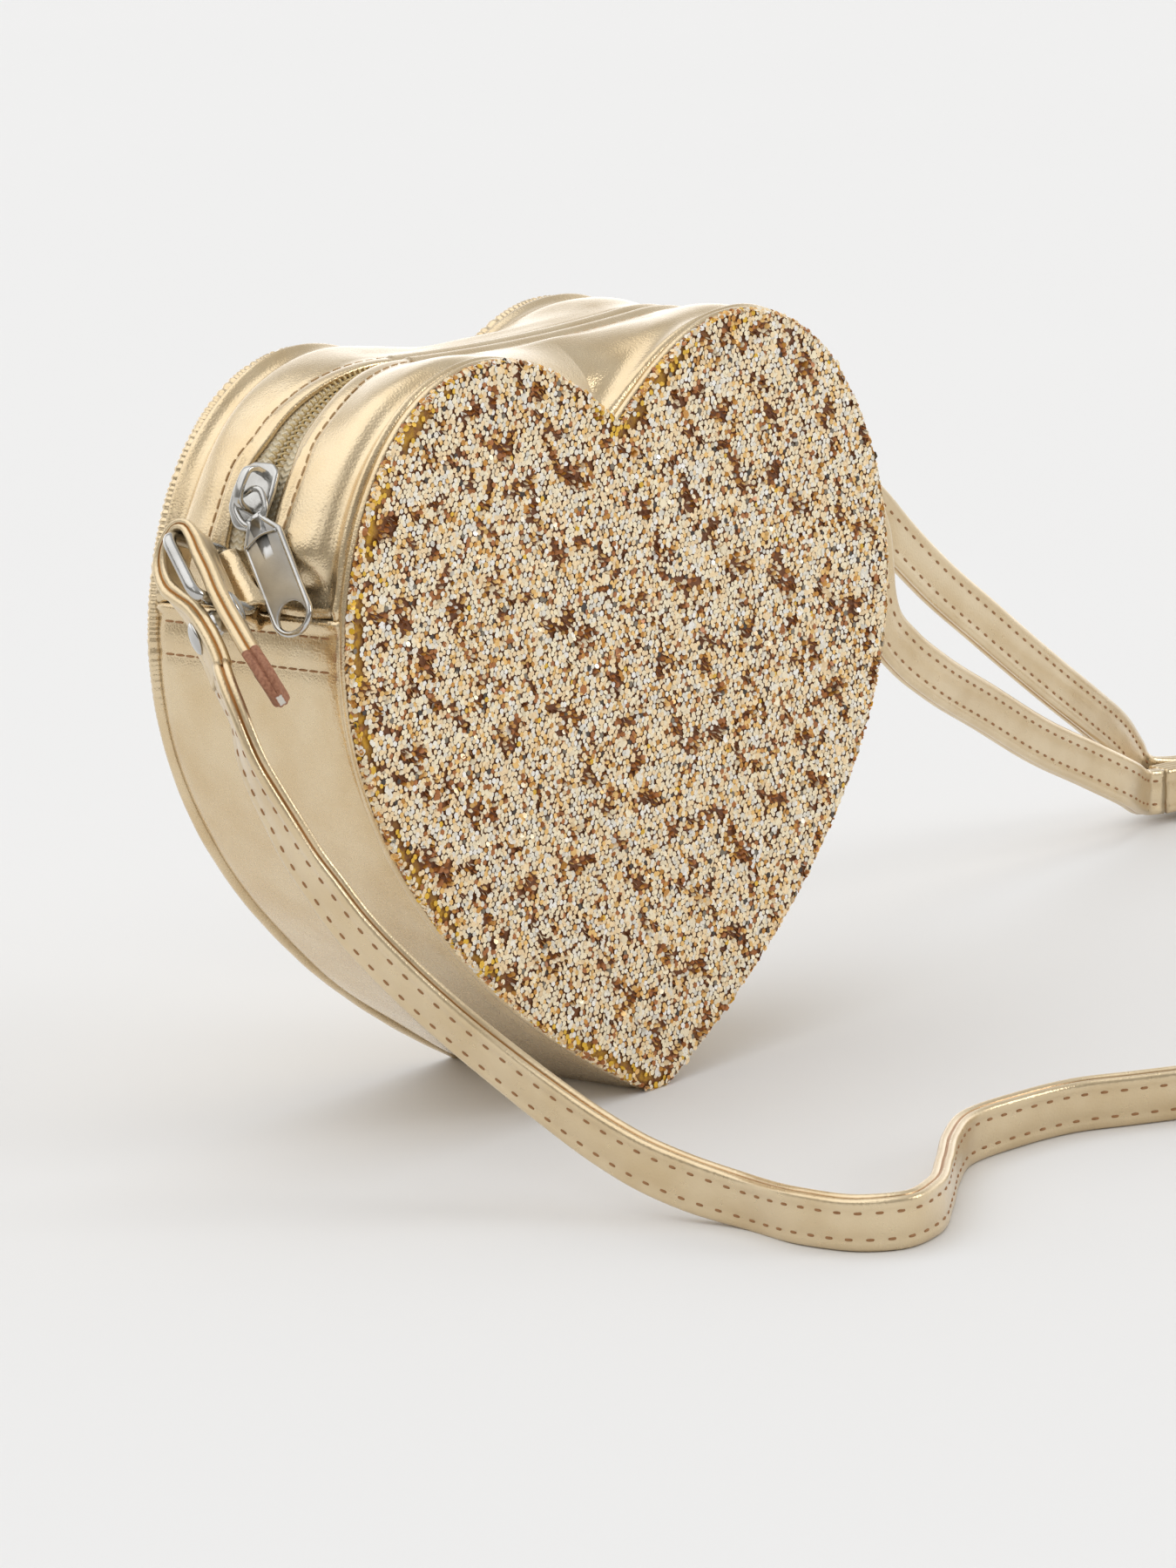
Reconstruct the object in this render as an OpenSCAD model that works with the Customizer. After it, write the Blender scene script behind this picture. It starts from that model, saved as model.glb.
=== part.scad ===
// Heart shaped purse with a zip over its lobes and a thin adjustable strap.
// The tip stands at the origin, +Z is up, the glitter front faces -Y.

/* [Bag] */
// Width of the heart across both lobes
bag_w = 140; // [126:1:170]
// Height of the heart from its foot to the top of the lobes
bag_h = 133.2; // [122:0.2:160]
// Depth of the bag between the outer faces of its pipings
bag_d = 48; // [40:1:70]
// Width of the flat foot at the tip
foot_w = 4.4; // [3:0.2:8]

/* [Walls] */
// Thickness of the side leather
leather_t = 1.5; // [1:0.1:2.5]
// Thickness of the lining cloth
lining_t = 0.5; // [0.3:0.1:1]
// Depth of the piping that borders the front and the back
piping_d = 2.6; // [2:0.1:4]
// How far the back panel lies behind the piping's face
panel_sink = 0.4; // [0.2:0.1:0.8]
// Thickness of the glitter panel and of the back panel
panel_t = 1.2; // [0.8:0.1:2]
// Thickness of the stiffening boards
board_t = 1.5; // [1:0.1:2.5]

/* [Zip] */
// Radius of the zip's path over each lobe
lobe_r = 36.8; // [32:0.2:40]
// Half the gap between the leather edges beside the zip
slot_half = 1.8; // [1.5:0.1:2.5]
// Width of each zip tape
tape_w = 8; // [6:0.5:10]
// Gap between the two rows of coil
coil_gap = 0.8; // [0.7:0.1:1.2]
// Length of the slider's plates along the zip
slider_len = 12.4; // [10:0.2:15]
// Width of the slider's plates
slider_w = 9.4; // [7:0.2:12]
// Thickness of the slider's plates
plate_t = 1.5; // [1:0.1:2]
// Length of the puller from its pivot to its round end
puller_len = 27; // [18:1:36]
// Width of the puller
puller_w = 8; // [6:0.5:11]
// Thickness of the puller
puller_t = 1.2; // [0.8:0.1:1.6]

/* [Rings] */
// Diameter of the wire of the strap rings
wire_d = 2.2; // [1.6:0.1:2.6]
// Length of the ring bars that the strap goes round, between wire centres
ring_w = 14; // [13:0.2:18]
// Distance between those two bars, between wire centres
ring_h = 13; // [12:0.2:18]
// Width of the tabs that hold the rings
tab_w = 5.4; // [5:0.2:8]
// Thickness of the tabs' leather
tab_t = 1.2; // [0.8:0.1:1.4]

/* [Strap] */
// Width of the strap
strap_w = 9; // [7:0.5:9.4]
// Thickness of the strap, two folded layers
strap_t = 3; // [2:0.1:3]
// Diameter of the rivet heads
rivet_d = 5.4; // [4:0.2:7]
// Diameter of the slide buckle's wire
slide_wire_d = 2; // [1.4:0.1:2.4]

/* [Hidden] */

// Half the heart's outline as three curves, in shares of half the width and of the height
side_shares = [[0, 0], [0.5, 0.137], [1, 0.363], [1, 0.638]];
lobe_shares = [[1, 0.638], [1, 0.813], [0.801, 1], [0.45, 1]];
cleft_shares = [[0.45, 1], [0.259, 1], [0.087, 0.923], [0, 0.888]];
// Steps along the side curve, over a lobe and down to the cleft, and across the gusset
side_n = 14;
lobe_n = 12;
cleft_n = 8;
cross_n = 6;
// Fineness of small round parts
$fn = 32;

half_w = bag_w / 2;
half_d = bag_d / 2;
foot_half = foot_w / 2;
shell_t = leather_t + lining_t;
wall_y = half_d - piping_d;
// How far the zip's path lies inside the outline at the sides and below the lobes' tops
zip_in = 0.3;
zip_drop = 1.2;
// How far the path sags between the lobes
saddle_sag = 1;
lobe_x = half_w - zip_in - lobe_r;
lobe_z = bag_h - zip_drop - lobe_r;
saddle_rise = lobe_r - saddle_sag;
saddle_r = (lobe_x * lobe_x + saddle_rise * saddle_rise - lobe_r * lobe_r) / (2 * saddle_sag);
saddle_z = lobe_z + saddle_rise + saddle_r;
saddle_a = atan2(lobe_x, saddle_rise + saddle_r);
// A small gap between fixed faces, and a wider one round moving parts
touch_gap = 0.15;
run_gap = 0.3;
// Overrun of cuts
cut = 1;

function mix(a, b, t) = a + (b - a) * t;
function unit(v) = v / norm(v);
function bez(c, t) =
    c[0] * pow(1 - t, 3) + c[1] * 3 * t * pow(1 - t, 2) + c[2] * 3 * t * t * (1 - t) + c[3] * pow(t, 3);
function bez_dir(c, t) =
    unit((c[1] - c[0]) * pow(1 - t, 2) + (c[2] - c[1]) * 2 * t * (1 - t) + (c[3] - c[2]) * t * t);
function curve(shares) = [for (s = shares) [s[0] * half_w, s[1] * bag_h]];
// The side curve starts at the corner of the foot
side_c = [for (i = [0:3]) curve(side_shares)[i] + (i < 2 ? [foot_half, 0] * (1 - i / 2) : [0, 0])];
lobe_c = curve(lobe_shares);
cleft_c = curve(cleft_shares);

// Inset of a point on a curve by d, with the material on the left of the travel
function inset(c, t, d) = let (v = bez_dir(c, t)) bez(c, t) + [-v[1], v[0]] * d;
// Parameter of the lobe curve at the height of the lobe's centre, where the side wall ends
function seam_find(lo, hi, n) =
    n == 0 ? lo
    : bez(lobe_c, (lo + hi) / 2)[1] < lobe_z ? seam_find((lo + hi) / 2, hi, n - 1)
    : seam_find(lo, (lo + hi) / 2, n - 1);
seam_t = seam_find(0, 1, 20);
seam_v = bez_dir(lobe_c, seam_t);
function seam_pt(d) = [bez(lobe_c, seam_t)[0] - d / seam_v[1], lobe_z];

// The foot's corner stays level when the outline is inset
foot_a = atan2(bez_dir(side_c, 0)[1], bez_dir(side_c, 0)[0]);
function foot_pt(d) = [foot_half - d * tan(foot_a / 2), d];
cleft_v = bez_dir(cleft_c, 1);
function cleft_pt(d) = [0, bez(cleft_c, 1)[1] + d / cleft_v[0]];

// Half outlines below and above the seam, from the foot up and from the seam to the cleft
function lower_half(d) = concat(
    [foot_pt(d)],
    [for (i = [1:side_n]) let (p = inset(side_c, i / side_n, d)) if (p[0] > foot_half) p],
    [for (i = [1:2]) inset(lobe_c, seam_t * i / 3, d)],
    [seam_pt(d)]);
function upper_pt(k, d) =
    k == 0 ? seam_pt(d)
    : k <= lobe_n ? inset(lobe_c, mix(seam_t, 1, k / lobe_n), d)
    : k < lobe_n + cleft_n ? inset(cleft_c, (k - lobe_n) / cleft_n, d)
    : cleft_pt(d);
half_n = lobe_n + cleft_n;
// The zip's path at the same stations: an arc over the lobe, then a shallow saddle
function path_pt(k, d) =
    k <= lobe_n
    ? let (a = (90 + saddle_a) * k / lobe_n)
        [lobe_x + (lobe_r - d) * cos(a), lobe_z + (lobe_r - d) * sin(a)]
    : let (a = saddle_a * (1 - (k - lobe_n) / cleft_n))
        [(saddle_r + d) * sin(a), saddle_z - (saddle_r + d) * cos(a)];

function flip(pts) = [for (i = [len(pts) - 1:-1:0]) [-pts[i][0], pts[i][1]]];
function heart(d) = let (h = concat(
    lower_half(d), [for (k = [1:half_n - 1]) upper_pt(k, d)]))
    concat(h, [cleft_pt(d)], flip(h));
function lower_run(d) = concat(flip(lower_half(d)), lower_half(d));
function path_run(d) = [for (j = [0:2 * half_n])
    let (k = j <= half_n ? j : 2 * half_n - j, p = path_pt(k, d))
    [j <= half_n ? p[0] : -p[0], p[1]]];
function reversed(pts) = [for (i = [len(pts) - 1:-1:0]) pts[i]];

// Extrudes an outline in the XZ plane from y0 to y1
module slab(y0, y1) translate([0, y1, 0]) rotate([90, 0, 0]) linear_extrude(height = y1 - y0) children();
module band(outer, inner) polygon(concat(outer, reversed(inner)));
module heart_slab(d, y0, y1) slab(y0, y1) polygon(heart(d));
module heart_ring(d0, d1, y0, y1) slab(y0, y1) difference() { polygon(heart(d0)); polygon(heart(d1)); }

// Closed shell between two grids of points with the same rows and columns
module grid_shell(inner, outer) {
    rows = len(inner);
    cols = len(inner[0]);
    n = rows * cols;
    at = function (i, j) i * cols + j;
    faces = concat(
        [for (i = [0:rows - 2], j = [0:cols - 2], h = [0:1])
            h == 0 ? [at(i, j), at(i + 1, j), at(i + 1, j + 1)]
            : [at(i, j), at(i + 1, j + 1), at(i, j + 1)]],
        [for (i = [0:rows - 2], j = [0:cols - 2], h = [0:1])
            h == 0 ? [n + at(i, j), n + at(i + 1, j + 1), n + at(i + 1, j)]
            : [n + at(i, j), n + at(i, j + 1), n + at(i + 1, j + 1)]],
        [for (i = [0:rows - 2], e = [0, cols - 1], h = [0:1])
            let (a = at(i, e), b = at(i + 1, e), f = h == 0 ? [a, n + b, b] : [a, n + a, n + b])
            e == 0 ? f : reversed(f)],
        [for (j = [0:cols - 2], e = [0, rows - 1], h = [0:1])
            let (a = at(e, j), b = at(e, j + 1), f = h == 0 ? [a, b, n + b] : [a, n + b, n + a])
            e == 0 ? f : reversed(f)]);
    polyhedron([for (g = [inner, outer], r = g, p = r) p], faces);
}

// The top gusset rises from the heart's edge to the zip's path, which it follows above the tape
function rise(v) = v * (1.4 - 0.4 * v);
zip_half = coil_gap / 2 + tape_w;
function gusset_rows(y_end, d) = [for (i = [0:cross_n + (y_end > -zip_half ? 1 : 0)])
    let (v = min(i / cross_n, 1), y = i > cross_n ? y_end : mix(-wall_y, -zip_half, v))
    [for (j = [0:2 * half_n])
        let (k = j <= half_n ? j : 2 * half_n - j, p = mix(upper_pt(k, d), path_pt(k, d), rise(v)))
        [j <= half_n ? p[0] : -p[0], y, p[1]]]];

// A board and its lining lie behind a panel whose inner face is at y
inner_in = shell_t + touch_gap;
module board_at(y) heart_slab(inner_in, y, y + board_t);
module lining_at(y) heart_slab(inner_in, y + board_t, y + board_t + lining_t);
// The glitter panel covers the front to its edge, and its piping runs behind that edge
front_in = -half_d + panel_t;
module front_glitter_panel() color("#d8c49a") heart_slab(0, -half_d, front_in);
module front_stiffener_board() color("#b9a27a") board_at(front_in);
module front_lining() color("#e9dfc8") lining_at(front_in);
module front_piping() color("#cfae74") heart_ring(0, shell_t, front_in, -wall_y);
// The back panel lies a little behind the face of its piping
back_in = -half_d + panel_sink + panel_t;
module back_panel() color("#d9bd86") mirror([0, 1, 0]) heart_slab(shell_t, -half_d + panel_sink, back_in);
module back_stiffener_board() color("#b9a27a") mirror([0, 1, 0]) board_at(back_in);
module back_lining() color("#e9dfc8") mirror([0, 1, 0]) lining_at(back_in);
module back_piping() color("#cfae74") mirror([0, 1, 0]) heart_ring(0, shell_t, -half_d, -wall_y);

module lower_gusset() color("#d9bd86") slab(-wall_y, wall_y) band(lower_run(0), lower_run(leather_t));
module lower_gusset_lining() color("#e9dfc8")
    slab(-wall_y, wall_y) band(lower_run(leather_t), lower_run(shell_t));
module top_gusset_front() color("#d9bd86")
    grid_shell(gusset_rows(-slot_half, leather_t), gusset_rows(-slot_half, 0));
module top_gusset_back() color("#d9bd86") mirror([0, 1, 0]) top_gusset_front();
module top_lining_front() color("#e9dfc8")
    grid_shell(gusset_rows(-zip_half, shell_t), gusset_rows(-zip_half, leather_t));
module top_lining_back() color("#e9dfc8") mirror([0, 1, 0]) top_lining_front();

// The tapes lie under the leather, and the coils stand on them in the slot
coil_drop = 0.3;
module zip_tape_front() color("#c9b48c")
    slab(-zip_half, -coil_gap / 2) band(path_run(leather_t), path_run(shell_t));
module zip_tape_back() color("#c9b48c") mirror([0, 1, 0]) zip_tape_front();
// Stations left free at both ends of the coils, where the end stops sit
function coil_run(d) = let (r = path_run(d)) [for (j = [1:len(r) - 2]) r[j]];
module zip_coil_front() color("#b59a63")
    slab(-slot_half, -coil_gap / 2) band(coil_run(coil_drop), coil_run(leather_t));
module zip_coil_back() color("#b59a63") mirror([0, 1, 0]) zip_coil_front();
module zip_end_stops() color("#c8ccd0") for (s = [0, 1]) mirror([s, 0, 0])
    slab(-slot_half, slot_half) polygon([
        path_pt(0, coil_drop), path_pt(1, coil_drop), path_pt(1, leather_t), path_pt(0, leather_t)]);

// The slider rides the left lobe's arc. Its own frame has +X up the zip and +Z outward
// Rest angle above the level of the lobe's centre
slider_a = 30;
slider_span = slider_len / lobe_r * 180 / PI;
web_t = coil_gap - 2 * touch_gap;
web_len_share = 0.5;
bridge_t = 1.6;
bridge_bar = 1.2;
// The bridge stands a little to the front of the slider's middle
bridge_side = 1.6;
window_len = 5.4;
window_h = 3.6;
pivot_d = 1.4;
pivot_clear = 0.35;
module arc_block(r0, r1, span, y0, y1) translate([-lobe_x, 0, lobe_z]) slab(y0, y1)
    intersection() {
        difference() { circle(r = r1, $fn = 180); circle(r = r0, $fn = 180); }
        polygon([[0, 0], for (s = [-0.5:0.25:0.5]) let (a = 180 - slider_a + s * span)
            [cos(a), sin(a)] * (r1 + lobe_r)]);
    }
module at_slider() translate([-lobe_x, 0, lobe_z]) rotate([0, slider_a - 90, 0])
    translate([0, 0, lobe_r]) children();
plate_r = lobe_r + run_gap;
under_r = lobe_r - shell_t - run_gap;
bridge_x = -window_len / 2 - bridge_bar + pivot_d / 4;
window_z = run_gap + plate_t;
module zip_slider() color("#c4c8cc") {
    arc_block(plate_r, plate_r + plate_t, slider_span, -slider_w / 2, slider_w / 2);
    arc_block(under_r - plate_t, under_r, slider_span, -slider_w / 2, slider_w / 2);
    arc_block(under_r - cut / 2, plate_r + cut / 2, slider_span * web_len_share, -web_t / 2, web_t / 2);
    at_slider() translate([0, -bridge_side, 0]) difference() {
        slab(-bridge_t / 2, bridge_t / 2) translate([bridge_x, window_z - cut / 2])
            square([window_len + 2 * bridge_bar, window_h + bridge_bar + cut / 2]);
        slab(-bridge_t, bridge_t) translate([bridge_x + bridge_bar, window_z + cut / 4])
            square([window_len, window_h - cut / 4]);
    }
}

// The puller hangs from the bridge, turned a little towards the front and lying on the bag
puller_yaw = 36;
puller_pitch = 14;
pivot_x = bridge_x + bridge_bar + pivot_d / 2 + pivot_clear + bridge_t / 2 * tan(puller_yaw);
pivot_z = window_z + window_h - pivot_d / 2 - pivot_clear;
eye_w = 4.8;
eye_len = 3.8;
arm_w = 1.1;
hole_w = 4.6;
hole_len = 6.6;
module at_puller() at_slider() translate([pivot_x, -bridge_side, pivot_z]) rotate([0, 0, puller_yaw])
    rotate([0, -puller_pitch, 0]) children();
module puller_outline() {
    head_w = eye_w + 2 * arm_w;
    polygon([[-pivot_d / 4, -head_w / 2], [-pivot_d / 4, head_w / 2], [-eye_len, head_w / 2],
        [-eye_len - (puller_w - head_w), puller_w / 2], [-puller_len + puller_w / 2, puller_w / 2],
        [-puller_len + puller_w / 2, -puller_w / 2], [-eye_len - (puller_w - head_w), -puller_w / 2],
        [-eye_len, -head_w / 2]]);
    translate([-puller_len + puller_w / 2, 0]) circle(d = puller_w);
}
module puller_holes() {
    translate([-eye_len, -eye_w / 2]) square([eye_len + cut, eye_w]);
    for (s = [0, 1]) translate([-puller_len + puller_w / 2 + s * (hole_len - hole_w), 0]) circle(d = hole_w);
    translate([-puller_len + puller_w / 2, -hole_w / 2]) square([hole_len - hole_w, hole_w]);
}
module zip_puller() color("#c4c8cc") at_puller() {
    translate([0, 0, -puller_t / 2]) linear_extrude(height = puller_t)
        difference() { puller_outline(); puller_holes(); }
    rotate([90, 0, 0]) cylinder(d = pivot_d, h = eye_w + 2 * arm_w, center = true);
}

// A ring's own frame: the arm in its tab lies on the Z axis from 0 down, the ring reaches to -X
wire_r = wire_d / 2;
bend_r = 2.4;
// The left ring stands this far outside and below the slider's rest place
ring_out = 7.2;
ring_drop = 7.9;
ring_y = 1.2;
left_tilt = 20;
left_swing = 45;
right_out = 5.5;
right_rise = 6.3;
right_tilt = 40;
right_swing = 45;
left_at = [-lobe_x - lobe_r * cos(slider_a) - ring_out, ring_y, lobe_z + lobe_r * sin(slider_a) - ring_drop];
module at_left() translate(left_at) rotate([0, left_tilt, 0]) rotate([-left_swing, 0, 0]) children();
// The right ring's frame is turned round, so that its ring reaches to -X too
module at_right() translate([half_w + right_out, 0, lobe_z + right_rise])
    rotate([0, right_tilt, 0]) rotate([right_swing, 0, 0]) rotate([0, 0, 180]) children();
module wire(from, to) {
    v = to - from;
    translate(from) rotate([0, acos(v[2] / norm(v)), atan2(v[1], v[0])]) cylinder(r = wire_r, h = norm(v));
}
module wire_ring(w, h) {
    corners = [[0, 0, 0], [-w, 0, 0], [-w, 0, -h], [0, 0, -h]];
    for (i = [0:3]) {
        a = corners[i];
        b = corners[(i + 1) % 4];
        v = unit(b - a);
        wire(a + v * bend_r, b - v * bend_r);
        u = unit(corners[(i + 3) % 4] - a);
        translate(a + (u + v) * bend_r) rotate([90, 0, 0])
            rotate([0, 0, atan2(-(u + v)[2], -(u + v)[0]) - 45])
            rotate_extrude(angle = 90) translate([bend_r, 0]) circle(r = wire_r);
    }
}
module ring_left() color("#c9cdd1") at_left() wire_ring(ring_w, ring_h);
// The right ring's outer arm is the one that the strap goes round
module ring_right() color("#c9cdd1") at_right() translate([0, 0, ring_w / 2]) wire_ring(ring_h, ring_w);

// A tab is a leather loop round the ring's arm, sewn to the bag's side
tab_in = wire_r + run_gap;
tab_reach = 10.5;
// The left tab sits towards the upper end of the ring's arm
tab_top = 1.6;
// The left tab leans back from the ring, clear of the puller
tab_lean = 20;
module tab_loop(len) linear_extrude(height = len) difference() {
    union() {
        circle(r = tab_in + tab_t);
        translate([0, -tab_in - tab_t]) square([tab_reach, 2 * (tab_in + tab_t)]);
    }
    circle(r = tab_in);
    translate([0, -tab_in]) square([tab_reach + cut, 2 * tab_in]);
}
module bag_body() slab(-half_d, half_d) polygon(concat(lower_run(-touch_gap), path_run(-touch_gap)));
module tab_left() color("#d2b57c") difference() {
    at_left() translate([0, 0, -tab_top - tab_w]) rotate([0, 0, tab_lean]) tab_loop(tab_w);
    bag_body();
}
module tab_right() color("#d2b57c") difference() {
    at_right() translate([0, 0, -tab_w / 2]) tab_loop(tab_w);
    bag_body();
}

// The strap's end goes round the left ring's two bars, comes back on itself and is riveted
strap_x = -ring_w / 2 - (tab_in + tab_t - wire_r) / 2;
fold_in = wire_r + touch_gap;
loop_down = 24;
tail_down = 36;
rivet_down = 19.6;
front_lean = 1.1;
fold_steps = 12;
function arc(r, a0, a1) = [for (i = [0:fold_steps])
    let (a = mix(a0, a1, i / fold_steps)) r * [cos(a), sin(a)]];
// Side view of a strap that is folded over a bar at the origin: it starts to close at mid, is
// riveted at pin, and its two layers end at down and at tail
module loop_profile(fold, mid, lean, pin, down, tail) {
    far = fold + strap_t;
    polygon(concat(
        arc(far, 0, 180), [[-far, -mid], [-lean - strap_t, -pin], [-lean - strap_t, -tail], [-lean, -tail],
            [-lean, -pin], [-fold, -mid]],
        arc(fold, 180, 0), [[fold, -mid], [lean, -pin], [lean, -down], [lean + strap_t, -down],
            [lean + strap_t, -pin], [far, -mid]]));
}
module end_loop() rotate([90, 0, 90]) linear_extrude(height = strap_w, center = true)
    loop_profile(fold_in, ring_h, front_lean, rivet_down, loop_down, tail_down);
rivet_head_t = 0.8;
rivet_post_d = 2.4;
module strap_end_loop() color("#d6bb85") difference() {
    at_left() translate([strap_x, 0, 0]) end_loop();
    at_left() rivet_hole();
}
module rivet_hole() translate([strap_x, 0, -rivet_down]) rotate([90, 0, 0])
    cylinder(d = rivet_post_d, h = 2 * (front_lean + strap_t + cut), center = true);
module rivet() {
    reach = front_lean + strap_t;
    translate([strap_x, 0, -rivet_down]) rotate([90, 0, 0]) {
        cylinder(d = rivet_post_d, h = 2 * reach, center = true);
        for (s = [0, 1]) mirror([0, 0, s]) translate([0, 0, reach]) cylinder(d = rivet_d, h = rivet_head_t);
    }
}
module strap_rivet() color("#c9cdd1") at_left() rivet();

// On the right the strap turns round the ring's outer arm
module strap_turn() color("#d6bb85") at_right() translate([-ring_h, 0, -strap_w / 2])
    linear_extrude(height = strap_w) difference() {
        circle(r = fold_in + strap_t);
        circle(r = fold_in);
        translate([-fold_in - strap_t - cut, -fold_in - strap_t - cut])
            square([fold_in + strap_t + cut, 2 * (fold_in + strap_t + cut)]);
    }

// The slide buckle stands on its edge on the floor, with the strap woven through it
slide_at = [243, 17];
slide_turn = -15;
slide_r = slide_wire_d / 2;
slide_half = 13;
slide_h = strap_w + 2 * run_gap + 2 * slide_wire_d;
module at_slide() translate([slide_at[0], slide_at[1], 0]) rotate([0, 0, slide_turn]) children();
module slide_buckle() color("#c9cdd1") at_slide() {
    for (s = [-1:1]) translate([s * slide_half, 0, slide_r])
        cylinder(r = slide_r, h = slide_h - slide_wire_d);
    for (z = [slide_r, slide_h - slide_r]) {
        translate([-slide_half, 0, z]) rotate([0, 90, 0])
            cylinder(r = slide_r, h = 2 * slide_half);
        for (s = [-1, 1]) translate([s * slide_half, 0, z]) sphere(r = slide_r);
    }
}
// The lower band's end goes round the buckle's first bar and is riveted to itself
slide_fold = slide_r + touch_gap;
slide_lean = 0.1;
slide_loop = 18;
slide_rivet_x = 11;
module slide_end_loop() color("#d6bb85") at_slide() translate([-slide_half, 0, slide_h / 2])
    difference() {
        translate([0, 0, -strap_w / 2]) rotate([0, 0, -90]) linear_extrude(height = strap_w)
            loop_profile(slide_fold, slide_r, slide_lean, slide_rivet_x, slide_loop, slide_loop);
        translate([-slide_rivet_x, 0, 0]) rotate([90, 0, 0])
            cylinder(d = rivet_post_d, h = 2 * (slide_lean + strap_t + cut), center = true);
    }
module slide_rivet() color("#c9cdd1") at_slide()
    translate([-slide_half - slide_rivet_x, 0, slide_h / 2]) rotate([90, 0, 0]) {
        reach = slide_lean + strap_t;
        cylinder(d = rivet_post_d, h = 2 * reach, center = true);
        for (s = [0, 1]) mirror([0, 0, s]) translate([0, 0, reach]) cylinder(d = rivet_d, h = rivet_head_t);
    }

// The strap's free stretches. Each row is a point on its middle line and the way its width points
long_route = [
    [-85.8, -14.3, 90.3, 0.94, 0, -0.34], [-86.8, -17.1, 87.7, 0.94, 0.1, -0.34],
    [-88.4, -18.5, 82.5, 0.7, 0.6, -0.35], [-89, -18.8, 76.5, 0.4, 0.85, -0.35],
    [-88.6, -19.3, 70, 0.1, 0.9, -0.42], [-86.7, -22.6, 62.2, -0.15, 0.85, -0.5],
    [-83.5, -27.5, 53.8, -0.1, 0.7, -0.7], [-79.2, -33.2, 44.3, -0.05, 0.6, -0.8],
    [-73, -43.1, 29.2, 0, 0.45, -0.89], [-66, -59.8, 17.1, 0, 0.35, -0.94],
    [-61, -75.2, 8.8, 0, 0.1, -1], [-58.5, -90, 4.9, 0, 0, -1],
    [-60.6, -104, 4.6, 0, 0, -1], [-61, -116, 4.6, 0, 0, -1],
    [-57.5, -123.5, 4.6, 0, 0, -1], [-48, -123, 4.6, 0, 0, -1],
    [-33, -114, 4.6, 0, 0, -1], [-15, -103, 4.6, 0, 0, -1],
    [-1, -100.5, 4.6, 0, 0, -1], [11, -103.5, 4.6, 0, 0, -1],
    [22, -111.5, 4.6, 0, 0, -1], [38, -124, 4.6, 0, 0, -1],
    [62, -138, 4.6, 0, 0, -1], [96, -151, 4.6, 0, 0, -1],
    [135, -157, 4.6, 0, 0, -1], [175, -153, 4.6, 0, 0, -1],
    [210, -142, 4.6, 0, 0, -1], [240, -122, 4.6, 0, 0, -1],
    [262, -95, 4.6, 0, 0, -1], [275, -65, 4.6, 0, 0, -1],
    [281, -35, 4.6, 0, 0, -1], [282, -12, 5, 0, 0, -1],
    [279, 2, 6, 0, 0, -1], [273.5, 9.5, 6.6, 0, 0, -1],
    [266.9, 13.2, 6.8, 0, 0, -1], [263, 14.3, 6.8, 0, 0, -1]
];
upper_route = [
    [86.95, 1.95, 94.4, 0.455, -0.707, 0.542], [90, 2, 91.9, 0.455, -0.707, 0.542],
    [96.5, 2.8, 86.6, 0.56, -0.45, 0.69], [104.5, 4, 80.1, 0.64, -0.1, 0.76],
    [121, 6.5, 67.5, 0.64, 0, 0.77], [137.8, 9, 56.4, 0.6, 0, 0.8],
    [152, 11.3, 47.2, 0.55, 0, 0.83], [166.3, 14, 38.4, 0.5, 0, 0.87],
    [182, 18, 29.6, 0.5, 0, 0.87], [197.6, 23.2, 21, 0.45, 0, 0.89],
    [209, 28.2, 13.5, 0.3, 0, 0.95], [215.6, 30.5, 8.4, 0.1, 0, 1],
    [223, 28.7, 6.8, 0, 0, 1], [232, 26.1, 6.8, 0, 0, 1],
    [236, 23.6, 6.8, 0, 0, 1], [239.3, 16.1, 6.8, 0, 0, 1],
    [242.3, 14.3, 6.8, 0, 0, 1], [245.8, 14.4, 6.8, 0, 0, 1],
    [252.3, 16.8, 6.8, 0, 0, 1], [259.1, 15.4, 6.8, 0, 0, 1], [263, 14.3, 6.8, 0, 0, 1]
];
lower_route = [
    [84.45, -1.95, 91.45, 0.455, -0.707, 0.542], [87, -2.1, 88.9, 0.5, -0.67, 0.5],
    [89.6, -2.6, 83.5, 0.8, -0.45, 0.35], [90.8, -2.8, 76.5, 0.95, -0.2, 0.2],
    [92.4, -2.2, 69.8, 0.9, -0.05, 0.4], [95.8, -1, 63.9, 0.67, 0, 0.74],
    [104, 1, 57.1, 0.67, 0, 0.74], [114.8, 3, 50.4, 0.6, 0, 0.8],
    [135.8, 8, 40, 0.55, 0, 0.83], [159.6, 13, 28, 0.5, 0, 0.87],
    [179, 16.5, 19.5, 0.45, 0, 0.89], [196, 19.2, 11.7, 0.4, 0, 0.92],
    [203.5, 22.7, 8.6, 0.2, 0, 0.98], [208.3, 24.6, 7.2, 0, 0, 1],
    [212.2, 23.7, 6.8, 0, 0, 1]
];
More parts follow.
